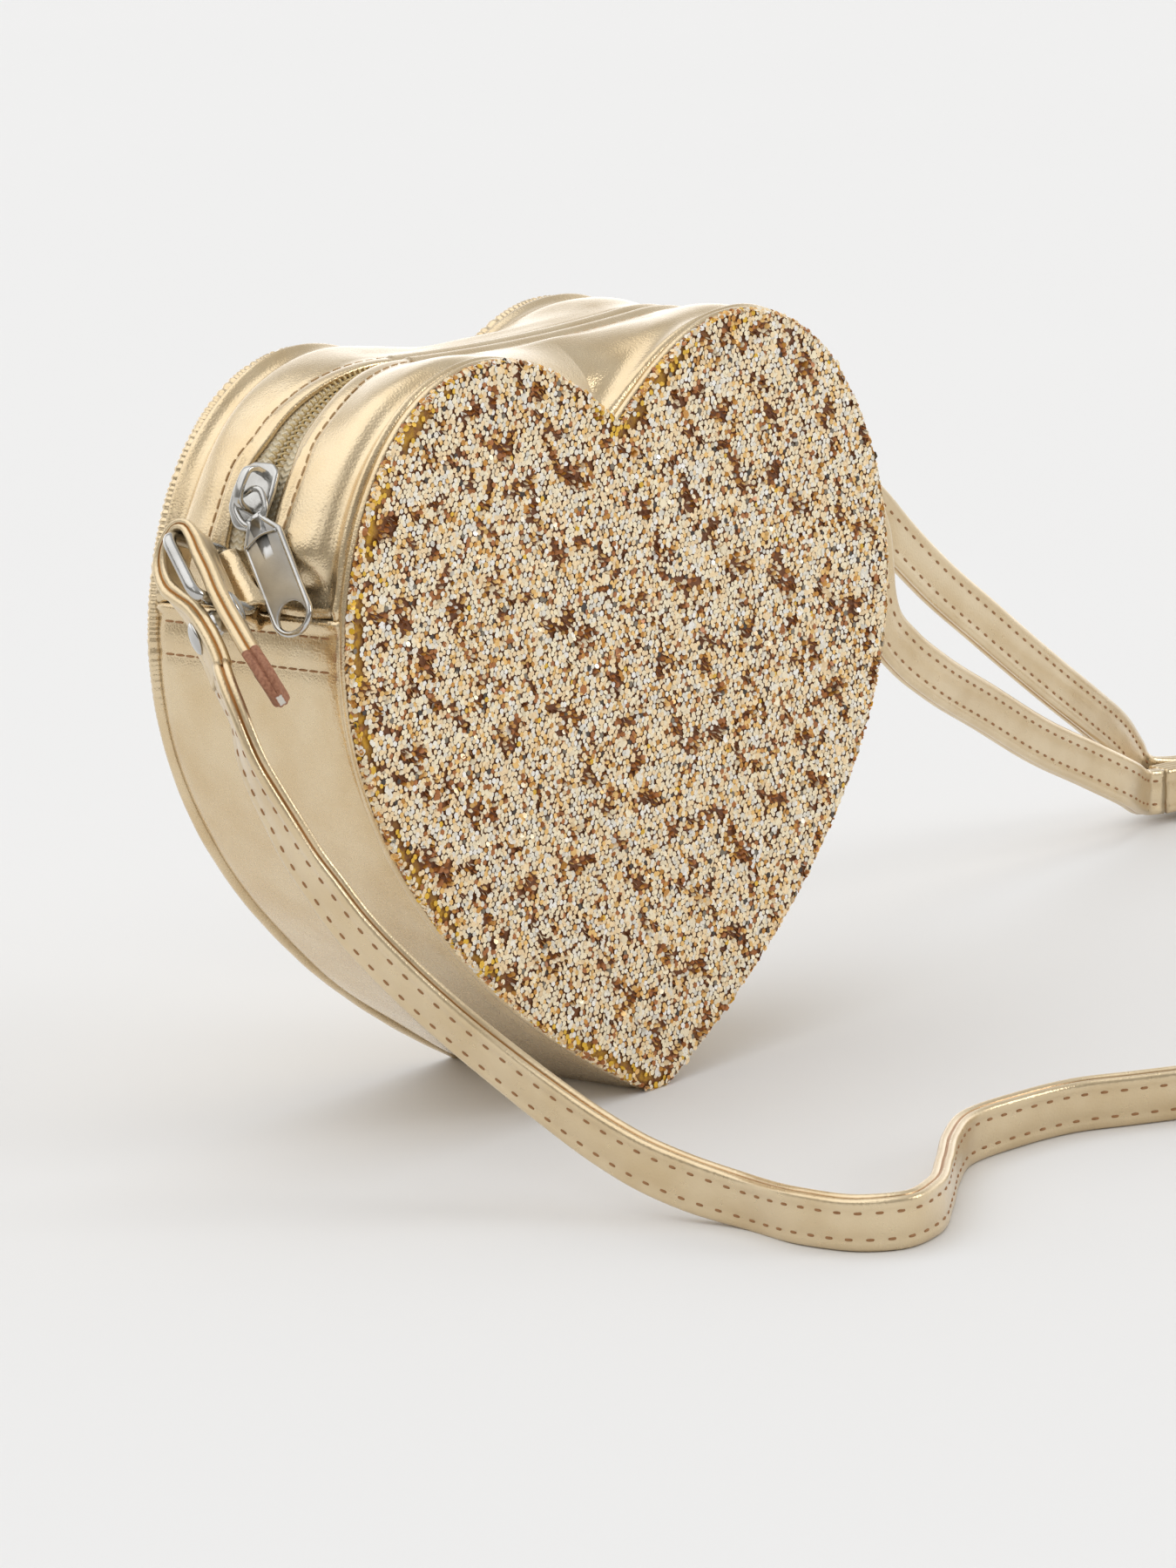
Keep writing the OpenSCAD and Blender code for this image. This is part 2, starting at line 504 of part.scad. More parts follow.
// A flat section with its corners taken off, in shares of half the width and half the thickness
section_shares = [
    [1, 0.6], [0.87, 1], [-0.87, 1], [-1, 0.6], [-1, -0.6], [-0.87, -1], [0.87, -1], [1, -0.6]
];
function spot(row) = [row[0], row[1], row[2]];
function strap_ring(route, i) =
    let (t = unit(spot(route[min(i + 1, len(route) - 1)]) - spot(route[max(i - 1, 0)])),
        hint = [route[i][3], route[i][4], route[i][5]],
        w = unit(hint - t * (hint * t)), n = cross(t, w))
    [for (s = section_shares) spot(route[i]) + w * s[0] * strap_w / 2 + n * s[1] * strap_t / 2];
module strap(route) {
    m = len(section_shares);
    last = len(route) - 1;
    polyhedron([for (i = [0:last], p = strap_ring(route, i)) p], concat(
        [for (i = [0:last - 1], j = [0:m - 1], h = [0:1])
            let (a = i * m + j, b = i * m + (j + 1) % m)
            h == 0 ? [a, a + m, b + m] : [a, b + m, b]],
        [for (j = [1:m - 2]) [0, j, j + 1]],
        [for (j = [1:m - 2]) [last * m, last * m + j + 1, last * m + j]]));
}
module strap_long() color("#d6bb85") strap(long_route);
module strap_upper_band() color("#d6bb85") strap(upper_route);
module strap_lower_band() color("#d6bb85") strap(lower_route);

front_glitter_panel();
front_stiffener_board();
front_lining();
front_piping();
back_panel();
back_stiffener_board();
back_lining();
back_piping();
lower_gusset();
lower_gusset_lining();
top_gusset_front();
top_gusset_back();
top_lining_front();
top_lining_back();
zip_tape_front();
zip_tape_back();
zip_coil_front();
zip_coil_back();
zip_end_stops();
zip_slider();
zip_puller();
tab_left();
tab_right();
ring_left();
ring_right();
strap_end_loop();
strap_rivet();
strap_turn();
strap_long();
strap_upper_band();
strap_lower_band();
slide_buckle();
slide_end_loop();
slide_rivet();
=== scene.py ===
# %% [markdown]
# # A heart shaped purse
# A small zipped bag stands on its tip. Its front is a heart of glitter, its sides are soft gold
# leather, and a thin strap runs from a ring on its left side over the floor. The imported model
# gives every piece its place, so the cells below only have to make each surface look real.

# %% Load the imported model
import math
import bpy
import numpy as np
from mathutils import Matrix, Vector


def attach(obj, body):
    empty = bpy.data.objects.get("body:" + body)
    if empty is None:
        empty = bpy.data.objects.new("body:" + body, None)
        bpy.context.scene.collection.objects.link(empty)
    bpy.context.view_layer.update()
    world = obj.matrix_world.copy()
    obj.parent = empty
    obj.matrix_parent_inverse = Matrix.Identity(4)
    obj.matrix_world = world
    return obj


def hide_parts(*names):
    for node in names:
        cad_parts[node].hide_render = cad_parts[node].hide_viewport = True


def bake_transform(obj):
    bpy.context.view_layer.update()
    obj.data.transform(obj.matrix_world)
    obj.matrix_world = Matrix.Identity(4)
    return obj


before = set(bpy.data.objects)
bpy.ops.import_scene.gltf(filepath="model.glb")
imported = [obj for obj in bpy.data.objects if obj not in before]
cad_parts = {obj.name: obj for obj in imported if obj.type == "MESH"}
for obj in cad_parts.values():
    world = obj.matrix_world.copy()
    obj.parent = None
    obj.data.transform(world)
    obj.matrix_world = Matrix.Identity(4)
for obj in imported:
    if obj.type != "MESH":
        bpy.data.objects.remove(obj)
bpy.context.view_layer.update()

# %% [markdown]
# ## The camera
# A long lens about a metre away, low and to the left, keeps the sides of the bag nearly parallel.
# The picture is rolled by three degrees, because the photographer tilted the camera a little.

# %% Camera
AZIMUTH, ELEVATION, ROLL = -47.5, 11.935, -3.337
DISTANCE, SIDE, LIFT = 1.0708, 0.0095, -0.01736
LENS, SENSOR, AIM_HEIGHT = 140, 36, 0.07
PICTURE_W, PICTURE_H = 1350, 1800


def unit(v):
    """Each vector divided by its length."""
    return v / np.linalg.norm(v, axis=-1, keepdims=True)


def camera_axes(azimuth, elevation, roll):
    """Right, up and back of a camera that looks level at azimuth 0 along +Y, then turns."""
    a, e, r = np.radians([azimuth, elevation, roll])
    back = np.array([math.sin(a) * math.cos(e), -math.cos(a) * math.cos(e), math.sin(e)])
    right = unit(np.cross([0, 0, 1], back))
    up = np.cross(back, right)
    return (right * math.cos(r) + up * math.sin(r), up * math.cos(r) - right * math.sin(r), back)


right, up, back = camera_axes(AZIMUTH, ELEVATION, ROLL)
lens = bpy.data.cameras.new("camera")
lens.sensor_width, lens.lens = SENSOR, LENS
lens.clip_start, lens.clip_end = 0.05, 50
camera = bpy.data.objects.new("camera", lens)
bpy.context.scene.collection.objects.link(camera)
place = np.array([0, 0, AIM_HEIGHT]) + SIDE * right + LIFT * up + DISTANCE * back
turn = np.eye(4)
turn[:3, 0], turn[:3, 1], turn[:3, 2], turn[:3, 3] = right, up, back, place
camera.matrix_world = Matrix(turn.tolist())
bpy.context.scene.camera = camera
print("camera at", np.round(place, 3))

# %% [markdown]
# ## Surfaces from arrays
# Nearly every piece is a grid of points: rows go along it and columns go round it. One helper
# turns such a grid into a mesh, another carries a profile along a line. All sizes are written in
# millimetres and become metres when the mesh is made.

# %% Mesh helpers
MM = 1000


def grid_faces(rows, cols, round_rows=False, round_cols=False):
    """Quads between neighbouring rows and columns; a closed direction joins its last to its first."""
    i = np.arange(rows if round_rows else rows - 1)[:, None]
    j = np.arange(cols if round_cols else cols - 1)[None, :]
    i2, j2 = (i + 1) % rows, (j + 1) % cols
    return np.stack([i * cols + j, i * cols + j2, i2 * cols + j2, i2 * cols + j], -1).reshape(-1, 4)


def add_piece(name, points, faces, body, finish, stands_for=(), values=None, crisp=False):
    """Makes one mesh from millimetre points and a list of face arrays, and lets it ride on a body."""
    mesh = bpy.data.meshes.new(name)
    every_face = [face for group in faces for face in np.asarray(group).tolist()]
    mesh.from_pydata(np.asarray(points).reshape(-1, 3) / MM, [], every_face)
    for key, value in (values or {}).items():
        value = np.asarray(value, np.float32)
        kind, slot = ("FLOAT_COLOR", "color") if value.ndim > 1 else ("FLOAT", "value")
        mesh.attributes.new(key, kind, "POINT").data.foreach_set(slot, value.ravel())
    mesh.polygons.foreach_set("use_smooth", [not crisp] * len(mesh.polygons))
    mesh.materials.append(finish)
    mesh.update()
    piece = bpy.data.objects.new(name, mesh)
    bpy.context.scene.collection.objects.link(piece)
    if body:
        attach(piece, body)
    if stands_for:
        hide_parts(*stands_for)
    print(name, len(mesh.vertices), "points")
    return piece


def grid_normals(grid):
    """Cross product of the steps along the rows and along the columns of a grid of points."""
    return unit(np.cross(np.gradient(grid, axis=0), np.gradient(grid, axis=1)) + 1e-12)


def outward_normals(grid, height):
    """The normals of a grid of points, turned away from the bag's middle axis at a height."""
    n = grid_normals(grid)
    return n * np.sign(np.sum(n * (grid - [0, 0, height]), -1, keepdims=True))


def frames_along(path, hint):
    """For each point of a line: its direction, the hint made square to it, and the third direction."""
    t = unit(np.gradient(path, axis=0))
    w = unit(hint - t * np.sum(hint * t, -1, keepdims=True))
    return t, w, np.cross(t, w)


def carry(profile, path, hint, scale=None):
    """Rings of a flat profile carried along a path: point + w * first + n * second coordinate."""
    t, w, n = frames_along(path, hint)
    size = np.ones((len(path), 2)) if scale is None else np.broadcast_to(scale, (len(path), 2))
    p = profile[None] * size[:, None]
    return path[:, None] + w[:, None] * p[..., :1] + n[:, None] * p[..., 1:]


def tube_faces(rows, cols):
    """Side quads of a carried profile and one face over each open end, all facing outwards."""
    one_ring = np.arange(cols)[None]
    return [grid_faces(rows, cols, round_cols=True), one_ring[:, ::-1], (rows - 1) * cols + one_ring]


def flipped(faces):
    """The same face arrays, turned to look the other way."""
    return [group[:, ::-1] for group in faces]


def closed_tube(line, r, axis, flat=1.0, n=14, reach=1):
    """Rings round a closed line square to axis: line + r * (cos a * side + flat * sin a * axis)."""
    t = unit(np.roll(line, -reach, 0) - np.roll(line, reach, 0))
    side = np.cross(t, axis)
    a = np.arange(n) * 2 * np.pi / n
    around = np.cos(a)[None, :, None] * side[:, None] + flat * np.sin(a)[None, :, None] * np.asarray(axis)
    rings = line[:, None] + np.broadcast_to(r, len(line))[:, None, None] * around
    return rings, [grid_faces(len(line), n, True, True)[:, ::-1]]


def circle(r, n, ry=None):
    """n points round an ellipse."""
    a = np.arange(n) * 2 * np.pi / n
    return np.stack([r * np.cos(a), (ry or r) * np.sin(a)], 1)


def smooth_line(points, step):
    """Evenly spaced points on cubic arcs whose slope at each given point is that of its neighbours."""
    p = np.asarray(points, float)
    s = np.concatenate([[0], np.cumsum(np.linalg.norm(np.diff(p[:, :3], axis=0), axis=1))])
    slope = np.gradient(p, s, axis=0)
    at = np.linspace(0, s[-1], int(round(s[-1] / step)) + 1)
    i = np.clip(np.searchsorted(s, at, side="right") - 1, 0, len(s) - 2)
    h = (s[i + 1] - s[i])[:, None]
    t = (at[:, None] - s[i][:, None]) / h
    return ((1 + 2 * t) * (1 - t) ** 2 * p[i] + t * (1 - t) ** 2 * h * slope[i]
            + t * t * (3 - 2 * t) * p[i + 1] + t * t * (t - 1) * h * slope[i + 1])


def waves(a, b, longest, shortest, count, seed):
    """A soft random field: the mean of many sine waves of random direction, length and phase."""
    rng = np.random.default_rng(seed)
    size = longest * (shortest / longest) ** rng.random(count)
    way, phase = rng.random(count) * 2 * np.pi, rng.random(count) * 2 * np.pi
    total = np.zeros(np.broadcast(a, b).shape)
    for s, w, f in zip(size, way, phase):
        total = total + np.sin((a * math.cos(w) + b * math.sin(w)) * 2 * np.pi / s + f)
    return total / math.sqrt(count / 2)


def bump(x, middle, width):
    """A bell curve of height 1."""
    return np.exp(-((x - middle) / width) ** 2)


def ease(x, low, high):
    """0 below low, 1 above high, and a smooth step between."""
    t = np.clip((x - low) / (high - low), 0, 1)
    return t * t * (3 - 2 * t)


# %% [markdown]
# ## Finishes
# Shader sums are written like ordinary sums. A Wire holds one socket of a material, and adding or
# multiplying wires adds Math nodes. Every pattern reads the object's own coordinates in metres,
# or a value stored on the mesh, so it stays put in every view and pose.

# %% A small language for shaders
class Wire:
    """One socket of a node tree, with arithmetic."""

    def __init__(self, tree, socket):
        self.tree, self.socket = tree, socket

    def sum(self, operation, *values):
        """A Math node on the values."""
        return node(self.tree, "ShaderNodeMath", {"operation": operation}, values)

    def __add__(self, other):
        return self.sum("ADD", self, other)

    def __sub__(self, other):
        return self.sum("SUBTRACT", self, other)

    def __rsub__(self, other):
        return self.sum("SUBTRACT", other, self)

    def __mul__(self, other):
        return self.sum("MULTIPLY", self, other)

    __radd__, __rmul__ = __add__, __mul__

    def between(self, low, high):
        """0 at low, 1 at high, held inside that range."""
        return node(self.tree, "ShaderNodeMapRange", {}, {"Value": self, "From Min": low, "From Max": high})


def node(tree, kind, settings, inputs, out=0):
    """Adds a node: first its settings or ramp stops, then values or wires on its sockets."""
    made = tree.nodes.new(kind)
    for key, value in settings.items():
        if key == "stops":
            for k, (at, colour) in enumerate(value):
                stop = made.color_ramp.elements[k] if k < 2 else made.color_ramp.elements.new(at)
                stop.position, stop.color = at, colour
        else:
            setattr(made, key, value)
    for key, value in (inputs.items() if isinstance(inputs, dict) else enumerate(inputs)):
        if isinstance(value, Wire):
            tree.links.new(value.socket, made.inputs[key])
        else:
            made.inputs[key].default_value = value
    return Wire(tree, made.outputs[out])


def colour(r, g, b):
    """A screen colour from 0 to 255 as the linear value that shaders use."""
    c = np.array([r, g, b]) / 255
    return (*np.where(c < 0.04045, c / 12.92, ((c + 0.055) / 1.055) ** 2.4), 1)


def mix(factor, a, b):
    """Colour a where factor is 0, colour b where it is 1."""
    return node(factor.tree, "ShaderNodeMix", {"data_type": "RGBA"}, {0: factor, 6: a, 7: b}, out=2)


def noise(tree, scale, detail=2, roughness=0.5):
    """Cloudy noise with about `scale` blobs to a metre."""
    where = node(tree, "ShaderNodeTexCoord", {}, {}, out=3)
    return node(tree, "ShaderNodeTexNoise", {}, {"Vector": where, "Scale": scale, "Detail": detail,
                                                "Roughness": roughness})


def cells(tree, scale):
    """Cell pattern with about `scale` cells to a metre."""
    where = node(tree, "ShaderNodeTexCoord", {}, {}, out=3)
    return node(tree, "ShaderNodeTexVoronoi", {}, {"Vector": where, "Scale": scale})


def stored(tree, name, out="Fac"):
    """A value that the mesh carries, by its name."""
    return node(tree, "ShaderNodeAttribute", {"attribute_name": name}, {}, out=out)


def relief(height, distance, strength):
    """A Bump node: height in shares of distance, in metres."""
    return node(height.tree, "ShaderNodeBump", {},
                {"Height": height, "Distance": distance, "Strength": strength})


def finish(name, build, **fixed):
    """A Principled material: fixed values on its sockets, then what build adds."""
    material = bpy.data.materials.new(name)
    material.use_nodes = True
    tree = material.node_tree
    shader = tree.nodes["Principled BSDF"]
    for key, value in fixed.items():
        shader.inputs[key.replace("_", " ")].default_value = value
    for key, wire in build(tree).items():
        tree.links.new(wire.socket, shader.inputs[key.replace("_", " ")])
    return material


# %% [markdown]
# ### Gold leather
# The leather is a cloth under a thin metallic foil. A foil shines like metal, but its fine grain
# spreads the shine, so it is nearly metallic with a middling roughness. The grain is a cell
# pattern under half a millimetre across. Its colour drifts in soft clouds between a paler and a
# warmer, darker gold; the darker gold of the creases comes from the light that the foil mirrors.

# %% Leather, edge and thread
def leather_nodes(light, deep, grain, rough):
    """Foil whose colour drifts between light and deep, with a fine grain and a roughness."""
    def build(tree):
        cloud = noise(tree, 90, 3)
        fine = cells(tree, 2300)
        pores = noise(tree, 3200, 2)
        patch = noise(tree, 420, 4, roughness=0.6)
        height = fine * 0.55 + pores * 0.35 + patch * 0.5
        return {"Base_Color": mix(cloud.between(0.38, 0.68), light, deep),
                "Roughness": rough + (patch - 0.5) * 0.16 + (fine - 0.4) * 0.05,
                "Normal": relief(height, 0.00012, grain)}
    return build


GOLD = finish("gold_leather", leather_nodes(colour(229, 208, 171), colour(220, 195, 153), 0.5, 0.27),
              Metallic=0.9, Coat_Weight=0.7, Coat_Roughness=0.16)
# The groove's dark brown is painted shade in the recess between the two strips' ridges
STRAP_LIGHT, STRAP_DEEP, GROOVE_SHADE = colour(229, 209, 173), colour(219, 196, 156), colour(176, 122, 60)


def strap_nodes(tree):
    """Leather whose edges get painted shade: a dark line in the groove between the two folded strips."""
    nodes = leather_nodes(STRAP_LIGHT, STRAP_DEEP, 0.45, 0.3)(tree)
    nodes["Base_Color"] = mix(stored(tree, "groove").between(0.15, 0.75), nodes["Base_Color"], GROOVE_SHADE)
    return nodes


STRAP = finish("strap_leather", strap_nodes, Metallic=0.82, Coat_Weight=0.5, Coat_Roughness=0.2)
PALE_THREAD = finish("pale_thread", lambda tree: {
    "Base_Color": mix(noise(tree, 1500), colour(214, 182, 138), colour(184, 148, 102))}, Roughness=0.6)
THREAD = finish("brown_thread", lambda tree: {
    "Base_Color": mix(noise(tree, 1500), colour(180, 134, 90), colour(146, 102, 62))}, Roughness=0.7)

# %% [markdown]
# ## The strap
# Two folded strips of leather lie back to back, so each long edge shows two round ridges with a
# groove between them, painted with a dark line of shade, and a row of stitches runs inside each
# edge. The two bands on the right follow the imported model's strap, point by point, and so does
# the far part of the long strap. A cubic curve goes through the points of each.

# %% Strap section and routes
STRAP_W, STRAP_T = 9.0, 3.0
quarter = np.array([(4.0, 0.0), (4.3, 0.12), (4.55, 0.36), (4.65, 0.75), (4.58, 1.12), (4.3, 1.4),
                    (3.7, 1.56), (3.0, 1.45), (2.4, 1.3), (1.7, 1.42), (0.0, 1.5)])
strap_section = np.concatenate([
    quarter[:-1], quarter[:0:-1] * [-1, 1], quarter[:-1] * [-1, -1], quarter[:0:-1] * [1, -1]])
# 1 in the groove of an edge, where the dark line of painted shade goes, 0 elsewhere
groove_shade_mask = np.clip(1 - np.abs(strap_section[:, 1]) / 0.3, 0, 1) * (np.abs(strap_section[:, 0]) > 3)

FLOOR = 0
# What the camera sees of the long strap's upper edge, from the loop to where it leaves the picture:
# column and row in the picture, degrees away from edge-on, and the distance of the strap's middle
# in millimetres, with FLOOR in both places where the strap stands on the floor
SEEN = [
    (252, 749, 12, 0), (262, 787, 8, 992.5), (272, 812, 6, 991.5), (282, 838, 9, 991),
    (294, 866, 15, 991), (316, 904, 23, 992), (340, 942, 28, 993), (365, 981, 33, 995),
    (389, 1012, 36, 996), (416, 1047, 38, 997), (472, 1106, 39, 998), (528, 1157, 40, 999),
    (585, 1203, 42, 999), (641, 1245, 46, 997), (697, 1283, 52, 993), (741, 1308, 58, 989),
    (793, 1330, 63, 984.5)] + [(column, row, FLOOR, FLOOR) for column, row in (
        (847, 1349), (919, 1368), (990, 1376), (1042, 1371), (1070, 1356), (1084, 1328),
        (1092, 1300), (1112, 1277), (1168, 1258), (1240, 1241), (1300, 1234))]
LONG_REST = [
    (96, -151, 4.6, 0, 0, -1), (135, -157, 4.6, 0, 0, -1), (175, -153, 4.6, 0, 0, -1),
    (210, -142, 4.6, 0, 0, -1), (240, -122, 4.6, 0, 0, -1), (262, -95, 4.6, 0, 0, -1),
    (275, -65, 4.6, 0, 0, -1), (281, -35, 4.6, 0, 0, -1), (282, -12, 5, 0, 0, -1),
    (279, 2, 6, 0, 0, -1), (273.5, 9.5, 6.6, 0, 0, -1),
    (266.9, 13.2, 6.8, 0, 0, -1), (263, 14.3, 6.8, 0, 0, -1)]
UPPER = [
    (86.95, 1.95, 94.4, 0.455, -0.707, 0.542), (90, 2, 91.9, 0.455, -0.707, 0.542),
    (96.5, 2.8, 86.6, 0.56, -0.45, 0.69), (104.5, 4, 80.1, 0.64, -0.1, 0.76),
    (121, 6.5, 67.5, 0.64, 0, 0.77), (137.8, 9, 56.4, 0.6, 0, 0.8),
    (152, 11.3, 47.2, 0.55, 0, 0.83), (166.3, 14, 38.4, 0.5, 0, 0.87),
    (182, 18, 29.6, 0.5, 0, 0.87), (197.6, 23.2, 21, 0.45, 0, 0.89),
    (209, 28.2, 13.5, 0.3, 0, 0.95), (215.6, 30.5, 8.4, 0.1, 0, 1),
    (223, 28.7, 6.8, 0, 0, 1), (232, 26.1, 6.8, 0, 0, 1),
    (236, 23.6, 6.8, 0, 0, 1), (239.3, 16.1, 6.8, 0, 0, 1),
    (242.3, 14.3, 6.8, 0, 0, 1), (245.8, 14.4, 6.8, 0, 0, 1),
    (252.3, 16.8, 6.8, 0, 0, 1), (259.1, 15.4, 6.8, 0, 0, 1), (263, 14.3, 6.8, 0, 0, 1)]
LOWER = [
    (84.45, -1.95, 91.45, 0.455, -0.707, 0.542), (87, -2.1, 88.9, 0.5, -0.67, 0.5),
    (89.6, -2.6, 83.5, 0.8, -0.45, 0.35), (90.8, -2.8, 76.5, 0.95, -0.2, 0.2),
    (92.4, -2.2, 69.8, 0.9, -0.05, 0.4), (95.8, -1, 63.9, 0.67, 0, 0.74),
    (104, 1, 57.1, 0.67, 0, 0.74), (114.8, 3, 50.4, 0.6, 0, 0.8),
    (135.8, 8, 40, 0.55, 0, 0.83), (159.6, 13, 28, 0.5, 0, 0.87),
    (179, 16.5, 19.5, 0.45, 0, 0.89), (196, 19.2, 11.7, 0.4, 0, 0.92),
    (203.5, 22.7, 8.6, 0.2, 0, 0.98), (208.3, 24.6, 7.2, 0, 0, 1),
    (212.2, 23.7, 6.8, 0, 0, 1)]

# %% [markdown]
# ## The strap where the camera sees it
# On the photograph the long strap's upper edge is easy to follow. A line of sight goes through
# each point of that edge. On the floor the line is cut at the strap's height, and elsewhere its
# length is a guess. That places the strap better than any guess at three coordinates.

# %% The long strap by sight
FOCAL = LENS / SENSOR * PICTURE_H
EDGE, LEAN, FIRST_GUESS, PASSES = 4.4, 14.0, 985, 12


def sight(column, row, distance):
    """The point that the camera sees at a place in the picture, at a distance."""
    x = (column - PICTURE_W / 2) / FOCAL * distance
    y = (PICTURE_H / 2 - row) / FOCAL * distance
    return place * MM + right * x + up * y - back * distance


def width_on_floor(direction):
    """The width direction of a strap that stands on its edge and leans a little to the camera."""
    lean, toward = math.radians(LEAN), unit(np.array([back[0], back[1], 0.0]))
    width = math.sin(lean) * toward + math.cos(lean) * np.array([0, 0, 1.0])
    return unit(width - direction * (width @ direction))


def width_in_air(direction, turn):
    """The width direction turned by degrees away from the camera, which sees only the edge at 0."""
    side = unit(np.cross(back, direction))
    side = side * np.sign(side @ up)
    facing = unit(back - direction * (back @ direction))
    return facing * math.cos(math.radians(turn)) + side * math.sin(math.radians(turn))


def strap_by_sight(seen, start):
    """Rows of middle point and width direction, so that the upper edge is seen where seen says.

    A row's middle is its edge less EDGE times the width direction. That direction depends on how
    the middles run, so the rows are worked out again PASSES times."""
    centres = np.array([start] + [sight(c, r, d or FIRST_GUESS) for c, r, _, d in seen[1:]])
    for _ in range(PASSES):
        rows = []
        for direction, (column, row, turn, distance) in zip(unit(np.gradient(centres, axis=0)), seen):
            if turn == FLOOR:
                width = width_on_floor(direction)
                top = STRAP_W * width[2] + STRAP_T / 2 * math.sqrt(max(0, 1 - width[2] ** 2))
                ray = sight(column, row, MM) - place * MM
                edge = place * MM + ray * (top - place[2] * MM) / ray[2]
            else:
                width = width_in_air(direction, turn)
                seen_at = sight(column, row, distance - EDGE * (width @ back))
                edge = seen_at if distance else start + EDGE * width
            rows.append((edge - EDGE * width, width))
        centres = np.array([middle for middle, _ in rows])
    return [tuple(middle) + tuple(-width) for middle, width in rows]


# %% [markdown]
# ## Stitches
# A stitch is a small flattened bead of thread. One bead is worked out, and an array of centres
# and directions puts it at every stitch of a row at once, which is much faster than a loop.

# %% Stitches along any line
bead_u, bead_v = np.meshgrid(np.arange(7) * np.pi / 6, np.arange(6) * np.pi / 3, indexing="ij")
bead_girth = np.sin(bead_u) ** 0.6
bead = np.stack([-np.cos(bead_u), bead_girth * np.cos(bead_v), bead_girth * np.sin(bead_v)], -1)


def stitch_points(centres, along, out, length, width):
    """A flattened bead for each centre: half length along the seam, width across, half that in height."""
    side = np.cross(out, along)
    axes = np.stack([along * length / 2, side * width / 2, out * width * 0.42], 1)
    return centres[:, None] + bead.reshape(1, -1, 3) @ axes


def stitch_faces(count):
    """The bead's quads, moved on by one bead's points for each stitch."""
    rows, cols = bead_u.shape
    one = grid_faces(rows, cols, round_cols=True)
    return (one[None] + np.arange(count)[:, None, None] * rows * cols).reshape(-1, 4)


def walk(path, extra, pitch):
    """Points every pitch along a line, with its other columns, and the line's direction there."""
    s = np.concatenate([[0], np.cumsum(np.linalg.norm(np.diff(path, axis=0), axis=1))])
    at = np.arange(pitch / 2, s[-1] - pitch / 2, pitch)

    def pick(a):
        return np.stack([np.interp(at, s, a[:, k]) for k in range(a.shape[1])], 1)
    return pick(path), unit(pick(np.gradient(path, axis=0))), [pick(e) for e in extra]


STITCH_ROW, STITCH_FACE, STITCH_PITCH = 2.4, 1.3, 3.5


def make_strap(name, rows, node_name):
    """The section carried along a smooth route, and its four rows of stitches."""
    line = smooth_line(rows, 1.6)
    path, hint = line[:, :3], line[:, 3:]
    body = carry(strap_section, path, hint)
    count, cols = body.shape[:2]
    strap = add_piece(name, body, tube_faces(count, cols), None, STRAP,
                      values={"groove": np.tile(groove_shade_mask, count)})
    t, w, n = frames_along(path, hint)
    beads = []
    for side in (-STITCH_ROW, STITCH_ROW):
        for face in (-STITCH_FACE, STITCH_FACE):
            c, along, (out,) = walk(path + w * side + n * face, [n * np.sign(face)], STITCH_PITCH)
            beads.append(stitch_points(c, along, unit(out), 1.35, 0.62))
    beads = np.concatenate(beads)
    threads = add_piece(name + "_stitches", beads, [stitch_faces(len(beads))], None, THREAD)
    length = np.linalg.norm(np.diff(path, axis=0), axis=1).sum() / MM
    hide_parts(node_name)
    (path / MM).tolist()
    return strap, threads


# %% The three stretches of strap
LOOP_END = np.array([-88.0, -12.7, 88.7])
seen_rows = strap_by_sight(SEEN, LOOP_END)
seen_steps = np.linalg.norm(np.diff([row[:3] for row in seen_rows], axis=0), axis=1)
print("placed by sight:", round(float(seen_steps.sum())), "mm of strap")
long_rows = seen_rows + LONG_REST
for name, rows, node_name, ring in (("strap_to_floor", long_rows, "strap_long", "left_ring"),
                                    ("strap_band_above", UPPER, "strap_upper_band", "right_ring"),
                                    ("strap_band_below", LOWER, "strap_lower_band", "right_ring")):
    for piece in make_strap(name, rows, node_name):
        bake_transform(piece)

# %% [markdown]
# ## The floor and the light
# A pale seamless floor lies under one very broad lamp, whose light falls as evenly as daylight
# through a white blind. Two small lamps, a weak one at the left and one in front, give the
# highlights. The world is brightest low beyond the bag, like a studio's backdrop, and dimmer
# overhead and on the camera's side. The foil mirrors all of that, which is what gives it its pale
# crests and dark furrows.

# %% Floor and lights
FLOOR_REACH = 8
floor_mesh = bpy.data.meshes.new("floor")
corners = ((-1, -1), (1, -1), (1, 1), (-1, 1))
floor_mesh.from_pydata([(FLOOR_REACH * x, FLOOR_REACH * y, 0) for x, y in corners], [], [(0, 1, 2, 3)])
floor_mesh.materials.append(finish("pale_floor", lambda tree: {
    "Base_Color": mix(noise(tree, 3), colour(236, 236, 236), colour(237, 237, 237))}, Roughness=0.9,
    Specular_IOR_Level=0.1))
floor = bpy.data.objects.new("floor", floor_mesh)
bpy.context.scene.collection.objects.link(floor)


def broad_lamp(name, towards, spread, power):
    """Parallel light from a wide patch of sky: towards is the way to the lamp, spread in degrees."""
    lamp = bpy.data.lights.new(name, "SUN")
    lamp.angle, lamp.energy = math.radians(spread), power
    made = bpy.data.objects.new(name, lamp)
    bpy.context.scene.collection.objects.link(made)
    made.rotation_mode = "QUATERNION"
    made.rotation_quaternion = Vector(towards).to_track_quat("Z", "Y")


